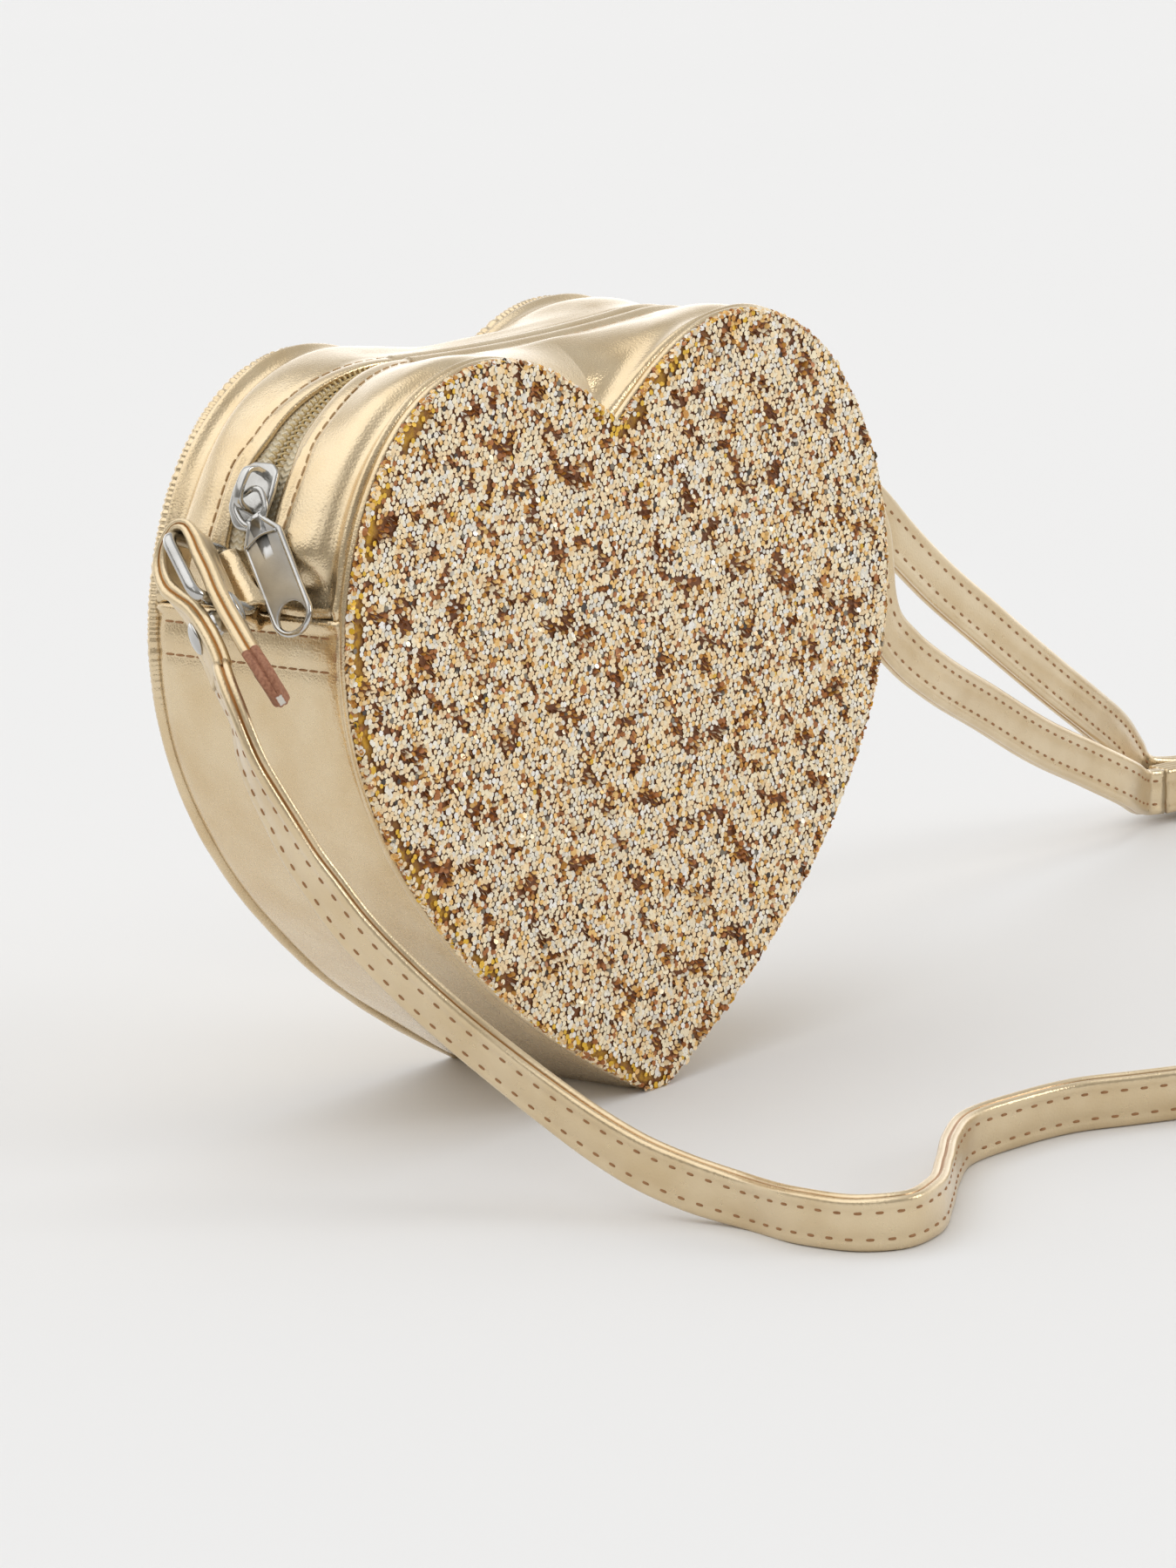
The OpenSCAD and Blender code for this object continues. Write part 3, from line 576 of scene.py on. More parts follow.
broad_lamp("lamp_above", (-0.35, 0.25, 1.0), 85, 1.15)
broad_lamp("lamp_left", (-0.8, -0.75, 0.7), 24, 0.1)
broad_lamp("lamp_front", (0.7, -1.0, 0.5), 24, 0.55)
DIM, WHITE, BACKDROP, SKY_STRENGTH = (0.4, 0.38, 0.35, 1), (0.95, 0.95, 0.95, 1), (2.25, 2.25, 2.25, 1), 0.69
world = bpy.data.worlds.new("studio")
bpy.context.scene.world = world
world.use_nodes = True
sky = world.node_tree
way = node(sky, "ShaderNodeTexCoord", {}, {}, out=0)
split = [node(sky, "ShaderNodeSeparateXYZ", {}, [way], out=k) for k in range(3)]
beyond = (split[0] * -right[1] + split[1] * right[0]).between(-0.1, 0.75)
low = 1 - split[2].between(0.2, 0.7)
overhead = mix(split[2].between(0.3, 0.9), DIM, WHITE)
tone = mix(beyond * low, overhead, BACKDROP)
sky.links.new(tone.socket, sky.nodes["Background"].inputs[0])
sky.nodes["Background"].inputs[1].default_value = SKY_STRENGTH
bpy.context.scene.view_settings.view_transform = "Standard"

# %% [markdown]
# ## The heart
# Three cubic curves draw half of the outline: up the side, over the lobe and down into the cleft.
# The zip runs over the lobes on two round arcs that a very flat sag joins.

# %% Outline and zip line
HALF_W, BAG_H, WALL_Y, FOOT = 70.0, 133.2, 21.4, 2.2
LOBE_R = 36.8
LOBE_X, LOBE_Z = HALF_W - 0.3 - LOBE_R, BAG_H - 1.2 - LOBE_R
SAG_RISE = LOBE_R - 1
SAG_R = (LOBE_X ** 2 + SAG_RISE ** 2 - LOBE_R ** 2) / 2
SAG_Z, SAG_A = LOBE_Z + SAG_RISE + SAG_R, math.atan2(LOBE_X, SAG_RISE + SAG_R)
side_curve = np.array([(0, 0), (0.5, 0.137), (1, 0.363), (1, 0.638)]) * (HALF_W, BAG_H) \
    + np.array([(FOOT, 0), (FOOT / 2, 0), (0, 0), (0, 0)])
lobe_curve = np.array([(1, 0.638), (1, 0.813), (0.801, 1), (0.45, 1)]) * (HALF_W, BAG_H)
cleft_curve = np.array([(0.45, 1), (0.259, 1), (0.087, 0.923), (0, 0.888)]) * (HALF_W, BAG_H)


def on_curve(c, t):
    """Point and unit direction of a cubic curve with four control points."""
    t = np.asarray(t, float)[..., None]
    p = c[0] * (1 - t) ** 3 + 3 * c[1] * t * (1 - t) ** 2 + 3 * c[2] * t * t * (1 - t) + c[3] * t ** 3
    return p, unit((c[1] - c[0]) * (1 - t) ** 2 + 2 * (c[2] - c[1]) * t * (1 - t) + (c[3] - c[2]) * t * t)


def inset(c, t, d):
    """Point of a curve moved inward, to the left of its travel, by d."""
    p, v = on_curve(c, t)
    return p + np.stack([-v[..., 1], v[..., 0]], -1) * np.asarray(d)[..., None]


fine_t = np.linspace(0, 1, 4001)
SEAM_T = float(np.interp(LOBE_Z, on_curve(lobe_curve, fine_t)[0][:, 1], fine_t))


def upper(k, d):
    """Right half from the side seam, k 0, over the lobe at 12 to the cleft at 20, inset by d."""
    k, d = np.broadcast_arrays(np.asarray(k, float), np.asarray(d, float))
    lobe = inset(lobe_curve, SEAM_T + (1 - SEAM_T) * np.clip(k / 12, 0, 1), d)
    cleft = inset(cleft_curve, np.clip((k - 12) / 8, 0, 0.875), d)
    end, v = on_curve(cleft_curve, np.array([1.0]))
    tip = np.stack([0 * d, end[0, 1] + d / v[0, 0]], -1)
    f = np.clip(k - 19, 0, 1)[..., None]
    return np.where(k[..., None] <= 12, lobe, cleft * (1 - f) + tip * f)


def zip_line(k, d):
    """The zip's line at the same stations, d below it: an arc over the lobe, then the flat sag."""
    k, d = np.broadcast_arrays(np.asarray(k, float), np.asarray(d, float))
    a = (np.pi / 2 + SAG_A) * np.clip(k / 12, 0, 1)
    b = SAG_A * (1 - np.clip((k - 12) / 8, 0, 1))
    arc = np.stack([LOBE_X + (LOBE_R - d) * np.cos(a), LOBE_Z + (LOBE_R - d) * np.sin(a)], -1)
    sag = np.stack([(SAG_R + d) * np.sin(b), SAG_Z - (SAG_R + d) * np.cos(b)], -1)
    return np.where(k[..., None] <= 12, arc, sag)


def whole(line, j, d):
    """A half line run over both halves: j goes from 0 at the right seam to 40 at the left one."""
    j = np.asarray(j, float)
    return line(np.minimum(j, 40 - j), d) * np.stack([np.where(j <= 20, 1, -1), np.ones_like(j)], -1)


def lower_half(d, n=90):
    """From the foot's corner up to the right seam, inset by d."""
    side = inset(side_curve, np.linspace(0, 1, n), np.full(n, d))
    top = inset(lobe_curve, np.linspace(0, SEAM_T, 12)[1:], np.full(11, d))
    side[:, 0] = np.where(side[:, 1] < 3, np.maximum(side[:, 0], FOOT - 0.25 * d), side[:, 0])
    return np.concatenate([side, top])


def heart(d, n=90, m=120):
    """The closed outline inset by d, from the foot up the right side and down the left."""
    right_half = np.concatenate([lower_half(d, n), upper(np.linspace(0, 20, m)[1:], np.full(m - 1, d))])
    return np.concatenate([right_half, right_half[-2::-1] * [-1, 1]])


print("outline:", len(heart(0)), "points, seam at height", LOBE_Z)

# %% [markdown]
# ## The side leather
# The gusset is soft. It puffs up between the piping and the zip, lies in a shallow furrow beside
# the piping, and gathers in a deep fold over the side seam. All of that is added to the plain
# surface along its normals, as a sum of soft bells and slow waves.

# %% Lower gusset with its folded top edge
def as_3d(flat, y):
    """Points of the front view, (x, z), at depth y."""
    flat, y = np.asarray(flat), np.asarray(y, float)
    return np.stack([flat[..., 0], np.broadcast_to(y, flat.shape[:-1]), flat[..., 1]], -1)


def thicken(piece, thickness):
    """Gives a skin its wall, inward."""
    wall = piece.modifiers.new("wall", "SOLIDIFY")
    wall.thickness, wall.offset = thickness / MM, -1


# Normals point away from these heights on the bag's middle axis
LOWER_MIDDLE, TOP_MIDDLE = 80, 60
half = lower_half(0, 110)
run = np.concatenate([half[::-1] * [-1, 1], half])
depth = np.linspace(-21.7, 21.7, 45)
base = as_3d(run[:, None, :] + 0 * depth[None, :, None], depth[None, :])
away = outward_normals(base, LOWER_MIDDLE)
height, across = base[..., 2], base[..., 1]
along = np.cumsum(np.concatenate([[0], np.linalg.norm(np.diff(run, axis=0), axis=1)]))[:, None]
swell = (0.5 * (1 - (across / 21.4) ** 2) - 0.55 * bump(np.abs(across), 21.6, 1.1)
         + 0.12 * waves(along, across, 60, 14, 14, 3)
         + 0.75 * ease(height, 93.4, 94.6) - 0.55 * ease(height, 95.0, 95.3)
         - 0.25 * bump(height, 92.2, 0.9) - 0.2 * bump(height, 86.6, 0.8))
lower_skin = base + away * swell[..., None]
thicken(add_piece("side_leather", lower_skin, [grid_faces(*lower_skin.shape[:2])], "bag", GOLD,
                  ["lower_gusset"]), 0.9)

# %% [markdown]
# ## The top leathers
# Each half of the top is one strip. On the real bag it is sewn flat to the piping and pulled up to
# the zip, so it puffs in the middle, and near the side seam the spare leather gathers in a fold.
# The strip is a grid: stations over both lobes, and columns from the piping to the zip.

# %% Top gussets with the zip's opening between them
def opening(j):
    """Half the gap between the leather edges: wide round the slider, closed over the lobe's top."""
    k = 40 - np.asarray(j, float)
    wide = 2.6 + 2.3 * ease(k, 0.3, 2.2) - 1.2 * ease(k, 4.8, 6.4) - 3.1 * ease(k, 6.4, 12.4)
    return np.where(k < 20, wide, 0.6)


def top_skin(front):
    """Rows along both lobes. Columns go from the piping up to the zip and round its edge."""
    sign = -1 if front else 1
    j = np.concatenate([np.linspace(0, 12, 73), np.linspace(12, 28, 129)[1:], np.linspace(28, 40, 121)[1:]])
    k = np.minimum(j, 40 - j)[:, None]
    gap = opening(j)[:, None]
    far = np.concatenate([[21.9, 21.75, 21.6], np.linspace(21.4, 19.4, 7)])[None]
    share = np.linspace(0, 1, 34)[None, 1:]
    y = np.concatenate([far + 0 * gap, 19.4 + (gap + 0.6 - 19.4) * share], 1)
    edge_y = gap + np.array([[0.25, 0.05, 0.0, 0.15, 0.6, 1.4]])
    drop = np.array([[0.06, 0.3, 0.75, 1.1, 1.32, 1.36]])
    y = np.concatenate([y, edge_y], 1)
    rise = np.clip((WALL_Y - y) / (WALL_Y - 8.4), 0, 1)
    rise = rise * (1.4 - 0.4 * rise)
    j2 = j[:, None] + 0 * y
    outer = whole(upper, j2, 0 * j2)
    flat = outer + (whole(zip_line, j2, 0 * j2) - outer) * rise[..., None]
    skin = as_3d(flat, sign * y)
    n = outward_normals(skin, TOP_MIDDLE)
    left = (j2 > 20) * 1.0
    step = along_j(j)[:, None]
    puff = 0.9 * np.sin(np.pi * np.clip((21.4 - y) / 17, 0, 1)) ** 1.5
    furrow = -1.7 * bump(y, 18.0, 1.8) * ease(k, 0.3, 2) * (1 - 0.7 * ease(k, 9, 14))
    roll = 0.9 * bump(y, 20.7, 0.85) * (1 - 0.5 * ease(k, 9, 13))
    tuck = -1.1 * bump(y, 21.9, 0.45)
    lip = 0.55 * bump(y, gap + 1.6, 1.2) - 0.45 * bump(y, gap + 3.3, 0.7)
    fold = -2.2 * bump(k, 0.95, 0.6) * bump(y, 12.5 if front else 14, 6.5) * left
    shelf = 0.9 * bump(k, 2.2, 0.8) * bump(y, 11, 6) * left
    seam = -0.7 * (1 - ease(k, 0.0, 0.35))
    crumple = 0.12 * waves(step, y * 2.6, 70, 16, 18, 5 if front else 8) * ease(y, 4, 8)
    calm = ease(y, gap, gap + 1.0)
    keep_low = np.where((y < 6) & (k < 12.5) & (left > 0), 0.35, 1)
    swell = (puff + furrow + roll + fold + shelf + crumple + lip) * calm * keep_low + tuck + seam
    below = np.zeros_like(y)
    below[:, -6:] = drop
    return skin + n * (swell - below)[..., None], j, y


def along_j(j):
    """Millimetres along the zip's line at the stations j."""
    p = whole(zip_line, j, 0 * j)
    return np.concatenate([[0], np.cumsum(np.linalg.norm(np.diff(p, axis=0), axis=1))])


top_skins = {}
for name, front in (("top_leather_front", True), ("top_leather_back", False)):
    skin, j, y = top_skin(front)
    top_skins[name] = (skin, j, y)
    faces = grid_faces(*skin.shape[:2])
    thicken(add_piece(name, skin, [faces if front else faces[:, ::-1]], "bag", GOLD,
                      ["top_gusset_front" if front else "top_gusset_back"]), 0.35)

# %% [markdown]
# ## Piping and the back
# Piping is a strip of leather wrapped round a cord. Sewn round a tight lobe it gathers into fine
# ribs a millimetre apart, which is what makes the back edge glitter in the photograph.

# %% Piping
def ring_path(d, step):
    """The outline inset by d as evenly spaced points, closed."""
    p = heart(d)
    p = np.concatenate([p, p[:1]])
    s = np.concatenate([[0], np.cumsum(np.linalg.norm(np.diff(p, axis=0), axis=1))])
    at = np.linspace(0, s[-1], int(s[-1] / step), endpoint=False)
    return np.stack([np.interp(at, s, p[:, 0]), np.interp(at, s, p[:, 1])], 1), at


RIB_PITCH = 1.15


def piping(name, y, d, radius, rib, stands_for, squeeze=1.0):
    """A round cord along the outline whose radius swells and dips once a rib on the lobes."""
    p, s = ring_path(d, 0.24 if rib else 0.9)
    path = as_3d(p, y)
    strength = ease(p[:, 1], 60, 112) if rib else 0 * s
    wander = s + 0.5 * waves(s, 0 * s, 19, 6, 9, 4)
    r = radius * (1 + 0.02 * waves(s, 0 * s, 30, 6, 8, 2))
    r = r - rib * strength * (0.5 + 0.5 * np.cos(2 * np.pi * wander / RIB_PITCH))
    rings, faces = closed_tube(path, r, [0, 1, 0], squeeze, 16, 2)
    add_piece(name, rings, faces, "bag", GOLD, stands_for)


piping("front_welt", -22.0, 0.95, 1.05, 0.0, ["front_piping"], 0.85)
piping("back_welt", 22.7, 1.1, 1.35, 0.24, ["back_piping"])


# %% [markdown]
# ### Plates in the shape of the heart
# The back panel, the glitter cloth and two of the linings are filled hearts. The outline shrinks
# towards one point near the middle in small steps, and each step lies a little higher, which puffs
# the plate like a thin cushion.

# %% A filled, slightly puffed heart
HEART_MIDDLE = np.array([0, 74.0])


def heart_plate(name, rim, y_back, crown, finish, stands_for, sign):
    """Rim rows (inset, y), then rows that shrink towards the middle, puffed by crown towards sign."""
    middle = HEART_MIDDLE
    rows = [as_3d(heart(d), y) for d, y in rim]
    last, y0 = heart(rim[-1][0]), rim[-1][1]
    for f in np.linspace(1, 0.02, 26)[1:]:
        rows.append(as_3d(middle + (last - middle) * f, y0 + sign * crown * (1 - f ** 2)))
    first, y1 = heart(rim[0][0]), y_back
    back_rows = [as_3d(middle + (first - middle) * f, y1) for f in np.linspace(0.02, 1, 8)]
    grid = np.stack(back_rows + rows)
    faces = tube_faces(*grid.shape[:2])
    return add_piece(name, grid, faces if sign < 0 else flipped(faces), "bag", finish, stands_for)


heart_plate("back_leather", [(2.2, 22.4), (2.2, 23.0), (2.6, 23.35), (3.4, 23.5)], 22.3, 0.5, GOLD,
            ["back_panel"], 1)

# %% [markdown]
# ## The glitter
# The front is a cloth under a coat of glue and thousands of flakes, each a hexagon about a
# millimetre across. Most lie nearly flat and overlap. In patches they stand on edge, and the brown
# glue shows between them. A yellow line of bare glue runs just inside the cut edge. Every flake
# here is one flat hexagon with its own colour, mostly a painted reflection. They share one mesh.

# %% The glued cloth
def glue_nodes(tree):
    """Cloudy brown glue, and bare yellow glue where the mesh stores it."""
    yellow = stored(tree, "yellow") * noise(tree, 500, 3).between(0.35, 0.6)
    brown = mix(noise(tree, 350, 3), colour(140, 82, 34), colour(88, 50, 22))
    return {"Base_Color": mix(yellow, brown, colour(232, 176, 26)),
            "Normal": relief(noise(tree, 1600, 3), 0.0004, 0.8)}


GLUE = finish("brown_glue", glue_nodes, Roughness=0.55)
cloth_rim = [(0.5, -22.9), (0.3, -23.3), (0.35, -23.7), (0.7, -23.95), (1.4, -24.05)]
cloth = heart_plate("glitter_cloth", cloth_rim, -22.85, 0.25, GLUE, ["front_glitter_panel"], -1)


def edge_distance(p, batch=4000):
    """Least distance from each point to the outline, worked out in batches to save memory."""
    ring, _ = ring_path(0.0, 0.5)
    return np.concatenate([np.linalg.norm(p[k:k + batch, None] - ring[None], axis=-1).min(1)
                           for k in range(0, len(p), batch)])


def inside(p):
    """Even-odd rule: a point is inside if a line to its right crosses the outline an odd number of times."""
    a, b = heart(0.0), np.roll(heart(0.0), -1, 0)
    crossed = np.zeros(len(p), int)
    for (x0, z0), (x1, z1) in zip(a, b):
        if z0 != z1:
            spans = (z0 > p[:, 1]) != (z1 > p[:, 1])
            crossed += spans & (p[:, 0] < x0 + (p[:, 1] - z0) * (x1 - x0) / (z1 - z0))
    return crossed % 2 == 1


def edge_glow(p, d):
    """How much bare yellow glue shows: a wavering line just inside the edge, left, cleft and tip."""
    near = bump(d, 1.9, 0.95)
    left_side = ease(-p[:, 0], 30, 50) * ease(p[:, 1], -20, 12)
    cleft = bump(p[:, 0], 8, 16) * ease(p[:, 1], 108, 118)
    tip = bump(p[:, 0], -14, 18) * ease(-p[:, 1], -22, -8)
    wavering = np.clip(0.85 + 0.45 * waves(p[:, 0], p[:, 1], 18, 6, 10, 11), 0, 1)
    return near * np.maximum(np.maximum(left_side, cleft), tip) * wavering


points = np.empty(len(cloth.data.vertices) * 3)
cloth.data.vertices.foreach_get("co", points)
flat = points.reshape(-1, 3)[:, [0, 2]] * MM
yellow = edge_glow(flat, edge_distance(flat)).astype(np.float32)
cloth.data.attributes.new("yellow", "FLOAT", "POINT").data.foreach_set("value", yellow)
print("bare yellow glue at", int((yellow > 0.5).sum()), "points of the cloth")

# %% [markdown]
# ### Where the flakes lie
# Flakes that fall on wet glue settle side by side. A honeycomb of spots, each shaken a little, is
# nearly as even, and takes no search for gaps. Two rows of flakes close the cut edge.

# %% Scatter the flakes
rng = np.random.default_rng(12)
PITCH, FLAKE_R = 0.94, 0.52
rows_z = np.arange(0, BAG_H + 1, PITCH * math.sqrt(3) / 2)
cols_x = np.arange(-HALF_W - 1, HALF_W + 1, PITCH)
gx, gz = np.meshgrid(cols_x, rows_z)
gx = gx + (np.arange(len(rows_z)) % 2)[:, None] * PITCH / 2
spots = np.stack([gx.ravel(), gz.ravel()], 1) + rng.normal(0, 0.12, (gx.size, 2))
spots = spots[inside(spots)]
d_spot = edge_distance(spots)
spots, d_spot = spots[d_spot > 0.15], d_spot[d_spot > 0.15]
patchy = waves(spots[:, 0], spots[:, 1], 16, 3.5, 40, 21)
patchy = patchy + 0.55 * waves(spots[:, 0] * 2, spots[:, 1], 6, 2.5, 30, 22)
bare = ease(patchy, 0.75, 1.4)
glow = edge_glow(spots, d_spot)
keep = rng.random(len(spots)) > 0.8 * glow + 0.15 * bare
spots, d_spot, bare, glow = spots[keep], d_spot[keep], bare[keep], glow[keep]
FLAKE_Y = -24.2
crown = 0.25 * (1 - ((spots - HEART_MIDDLE) ** 2).sum(1) / 6000)
lift_y = FLAKE_Y - crown + 0.75 * np.clip(1 - d_spot, 0, 1) ** 2
centres = as_3d(spots, lift_y - rng.random(len(spots)) * 0.16)
tilt = np.abs(rng.normal(0, 0.11, len(spots))) + bare * rng.uniform(0.6, 1.25, len(spots))
turn_way = rng.random(len(spots)) * 2 * np.pi * (1 - bare * 0.7) + 0.6 * bare
facing = np.stack([np.sin(tilt) * np.cos(turn_way), -np.cos(tilt), np.sin(tilt) * np.sin(turn_way)], 1)

rim, _ = ring_path(0.0, 0.72)
rim_t = unit(np.roll(rim, -1, 0) - np.roll(rim, 1, 0))
rim_n = np.stack([rim_t[:, 1], -rim_t[:, 0]], 1)
rim_centres, rim_facing = [], []
RIM_ROWS = (-24.1, -23.6)
for y in RIM_ROWS:
    slide = rng.normal(0, 0.2, len(rim))[:, None] + 0.8 * (y - RIM_ROWS[0])
    inwards = 0.45 - 0.35 * math.cos((y + 23.3) * 1.5)
    rim_centres.append(as_3d(rim + rim_t * slide - rim_n * inwards, y + rng.normal(0, 0.1, len(rim))))
    lean = rng.normal(0, 0.35, (len(rim), 3))
    rim_facing.append(unit(as_3d(rim_n, -0.9 if y < -23.8 else -0.15) + lean))
centres = np.concatenate([centres] + rim_centres)
facing = np.concatenate([facing] + rim_facing)
bare = np.concatenate([bare, rng.random(2 * len(rim))])
glow = np.concatenate([glow, 0.3 * rng.random(2 * len(rim))])
print("flakes:", len(centres))

# %% [markdown]
# ### The flakes' painted reflections
# Foil flakes are all alike, but each mirrors another part of the room. So a palette of pale gold,
# silver, white and brown is painted reflection: it stands for what they mirror, with odds for each,
# and the purest white is a painted glint. The flakes that stand on edge in the bare patches are
# mostly brown, which is painted shade. Near the cut edge some take the bare glue's own yellow.

# %% Flake colours
# Painted reflection of the room in each colour; pure white is a painted glint, the last is the bare glue's
# own yellow
reflection_and_glue_palette = np.array([colour(*c) for c in (
    (255, 242, 212), (255, 230, 188), (250, 246, 234), (236, 234, 224), (246, 202, 126), (255, 255, 252),
    (176, 110, 50), (206, 146, 58), (128, 120, 106), (62, 52, 44), (236, 190, 50))])
odds = np.array([0.33, 0.3, 0.13, 0.06, 0.08, 0.04, 0.045, 0.035, 0.012, 0.008, 0.004])
pick = rng.choice(len(reflection_and_glue_palette), len(centres), p=odds / odds.sum())
# Flakes on edge in the bare patches get painted shade, mostly brown
edge_on_shade_pick = rng.choice([4, 6, 6, 7, 0], len(centres))
pick = np.where(rng.random(len(centres)) < bare * 0.85, edge_on_shade_pick, pick)
pick = np.where(rng.random(len(centres)) < glow * 0.8, len(reflection_and_glue_palette) - 1, pick)
# Each flake's colour is painted reflection and shade, apart from the glue's own yellow near the edge
painted_reflection_and_glue = reflection_and_glue_palette[pick].copy()
painted_reflection_and_glue[:, :3] *= rng.uniform(0.9, 1.08, (len(centres), 1)) * np.array([1.03, 1.0, 0.96])
u = unit(np.cross(facing, rng.normal(0, 1, facing.shape)))
v = np.cross(facing, u)
six = np.arange(6) * np.pi / 3
size = FLAKE_R * rng.uniform(0.86, 1.12, len(centres))
size = np.where(rng.random(len(centres)) < 0.012, size * 1.7, size)
flakes = centres[:, None] + size[:, None, None] * (np.cos(six)[None, :, None] * u[:, None]
                                                   + np.sin(six)[None, :, None] * v[:, None])
flake_faces = np.arange(len(centres) * 6).reshape(-1, 6)
# The flakes' base colour is that painted reflection and shade, stored on the mesh
FLAKE = finish("glitter_flakes", lambda tree: {
    "Base_Color": stored(tree, "painted_reflection_and_glue", "Color"),
    "Roughness": noise(tree, 900).between(0.3, 0.7) * 0.3 + 0.16}, Metallic=0.2, Specular_IOR_Level=0.7)
add_piece("glitter", flakes, [flake_faces], "bag", FLAKE, values={"painted_reflection_and_glue": np.repeat(painted_reflection_and_glue, 6, axis=0)},
          crisp=True)

# %% [markdown]
# ## The zip
# Two woven tapes lie under the leather edges. Each carries a nylon coil, a real helix whose turns
# lie a little over a millimetre apart. The tape's weave follows two values stored on its mesh:
# millimetres along the zip and across it.

# %% Tapes and coils
WEAVE_ALONG, WEAVE_ACROSS, COIL_PITCH = 1.25, 0.8, 1.25


def weave_nodes(tree):
    """Woven ribs: a sine wave along the tape whose phase sways with a sine wave across it."""
    along, across = stored(tree, "along"), stored(tree, "across")
    sway = across.sum("SINE", across * (math.pi / WEAVE_ACROSS)) * 1.2
    rib = along.sum("SINE", along * (2 * math.pi / WEAVE_ALONG) + sway)
    fuzz = noise(tree, 2600, 2)
    # The colour is paler where the weave stands up and darker in its hollows: painted shade over the tape's
    # beige
    return {"Base_Color": mix(rib * 0.3 + 0.3 + fuzz * 0.4, colour(222, 202, 160), colour(250, 240, 214)),
            "Roughness": fuzz * 0.3 + 0.55,
            "Normal": relief(rib * 0.5 + fuzz * 0.4, 0.00035, 0.9)}


WEAVE = finish("woven_tape", weave_nodes)
COIL = finish("nylon_coil", lambda tree: {
    "Base_Color": mix(noise(tree, 800), colour(226, 204, 152), colour(206, 178, 120)),
    "Roughness": noise(tree, 900) * 0.2 + 0.28})
ZIP_STEPS, TAPE_STEPS, TAPE_DROP, COIL_Y = 400, 18, 1.62, 1.12
zip_j = np.linspace(0.35, 39.65, ZIP_STEPS)
zip_s = along_j(zip_j)
for sign, name in ((-1, "front"), (1, "back")):
    across = np.linspace(0.45, 8.3, TAPE_STEPS)
    stations = zip_j[:, None] + 0 * across
    tape = as_3d(whole(zip_line, stations, TAPE_DROP + 0 * stations), sign * across[None])
    values = {"along": np.repeat(zip_s, TAPE_STEPS), "across": np.tile(across, ZIP_STEPS)}
    faces = grid_faces(ZIP_STEPS, TAPE_STEPS)
    thicken(add_piece("tape_" + name, tape, [faces[:, ::-1] if sign > 0 else faces], "bag", WEAVE,
                      ["zip_tape_" + name], values), 0.3)
    turns = zip_s[-1] / COIL_PITCH
    turn_a = np.linspace(0, turns * 2 * np.pi, int(turns * 13))
    at = np.interp(turn_a / turn_a[-1], zip_s / zip_s[-1], zip_j)
    centre = whole(zip_line, at, 0.92 - 0.44 * np.sin(turn_a))
    wire = as_3d(centre, sign * (COIL_Y + 0.55 * np.cos(turn_a)))
    rings = carry(circle(0.2, 6), wire, np.broadcast_to([0, 1.0, 0], wire.shape) + 0.3)
    add_piece("coil_" + name, rings, tube_faces(*rings.shape[:2]), "bag", COIL, ["zip_coil_" + name])

# %% [markdown]
# ## Slider and puller
# Die-cast zinc with a nickel coat. The slider has two shield shaped plates that bend with the
# zip's arc, and an arch that the puller hangs from. The puller is a plate with a long eye at its
# lower end, and its narrow bail goes through the arch.

# %% Nickel
def nickel_nodes(dull):
    """Nickel with soft smears and fine specks; dull is added to its roughness."""
    def build(tree):
        smear, speck = noise(tree, 160, 4), noise(tree, 2500, 2)
        return {"Base_Color": mix(smear.between(0.35, 0.7), colour(206, 205, 202), colour(178, 176, 172)),
                "Roughness": smear * 0.16 + speck * 0.08 + dull,
                "Normal": relief(speck * 0.6 + smear, 0.00005, 0.5)}
    return build


NICKEL = finish("nickel", nickel_nodes(0.06), Metallic=1.0)
BRUSHED = finish("brushed_nickel", nickel_nodes(0.24), Metallic=1.0)


def place_in(origin, axes, local):
    """Local points carried to the purse: origin plus each coordinate along its axis (rows of axes)."""
    return np.asarray(origin) + np.asarray(local, float) @ np.asarray(axes)


def add_run(name, origin, axes, rings, body, finish, stands_for=(), values=None):
    """A piece from a carried profile in local points, closed at both ends."""
    return add_piece(name, place_in(origin, axes, rings), tube_faces(*rings.shape[:2]), body, finish,
                     stands_for, values)


def turned(*steps):
    """Axes after turns about x, y or z by degrees, the outermost first."""
    m = np.eye(3)
    for axis, angle in steps:
        m = m @ np.array(Matrix.Rotation(math.radians(angle), 3, axis.upper()))
    return m.T


SLIDER_A, BRIDGE_Y, PULLER_YAW, PULLER_PITCH = 30.0, -1.6, 36.0, 14.0
slider_axes = turned(("y", SLIDER_A - 90))
slider_at = np.array([-LOBE_X, 0, LOBE_Z]) + slider_axes[2] * LOBE_R
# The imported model's bridge: its window and bar along the slider, its thickness, and the puller's pin
WINDOW, BRIDGE_BAR, BRIDGE_T, PIN_R, PIN_GAP, PIN_Z = 5.4, 1.2, 1.6, 0.7, 0.35, 4.35
BRIDGE_X = -WINDOW / 2 - BRIDGE_BAR + PIN_R / 2
PIN_X = BRIDGE_X + BRIDGE_BAR + PIN_R + PIN_GAP + BRIDGE_T / 2 * math.tan(math.radians(PULLER_YAW))
puller_at = place_in(slider_at, slider_axes, [PIN_X, BRIDGE_Y, PIN_Z])
puller_axes = turned(("y", SLIDER_A - 90), ("z", PULLER_YAW), ("y", -PULLER_PITCH))


def round_corners(outline, radius, n=6):
    """A closed outline whose corners are cut back by radius and rounded by quadratic arcs."""
    p = np.asarray(outline, float)
    before, after = unit(np.roll(p, 1, 0) - p), unit(np.roll(p, -1, 0) - p)
    t = np.linspace(0, 1, n)[None, :, None]
    a, b = (p + before * radius)[:, None], (p + after * radius)[:, None]
    return ((1 - t) ** 2 * a + 2 * t * (1 - t) * p[:, None] + t * t * b).reshape(-1, 2)


def shrink(outline, d):
    """A closed outline, in anticlockwise order, moved inward by d."""
    t = unit(np.roll(outline, -1, 0) - np.roll(outline, 1, 0))
    return outline + np.stack([-t[:, 1], t[:, 0]], 1) * d


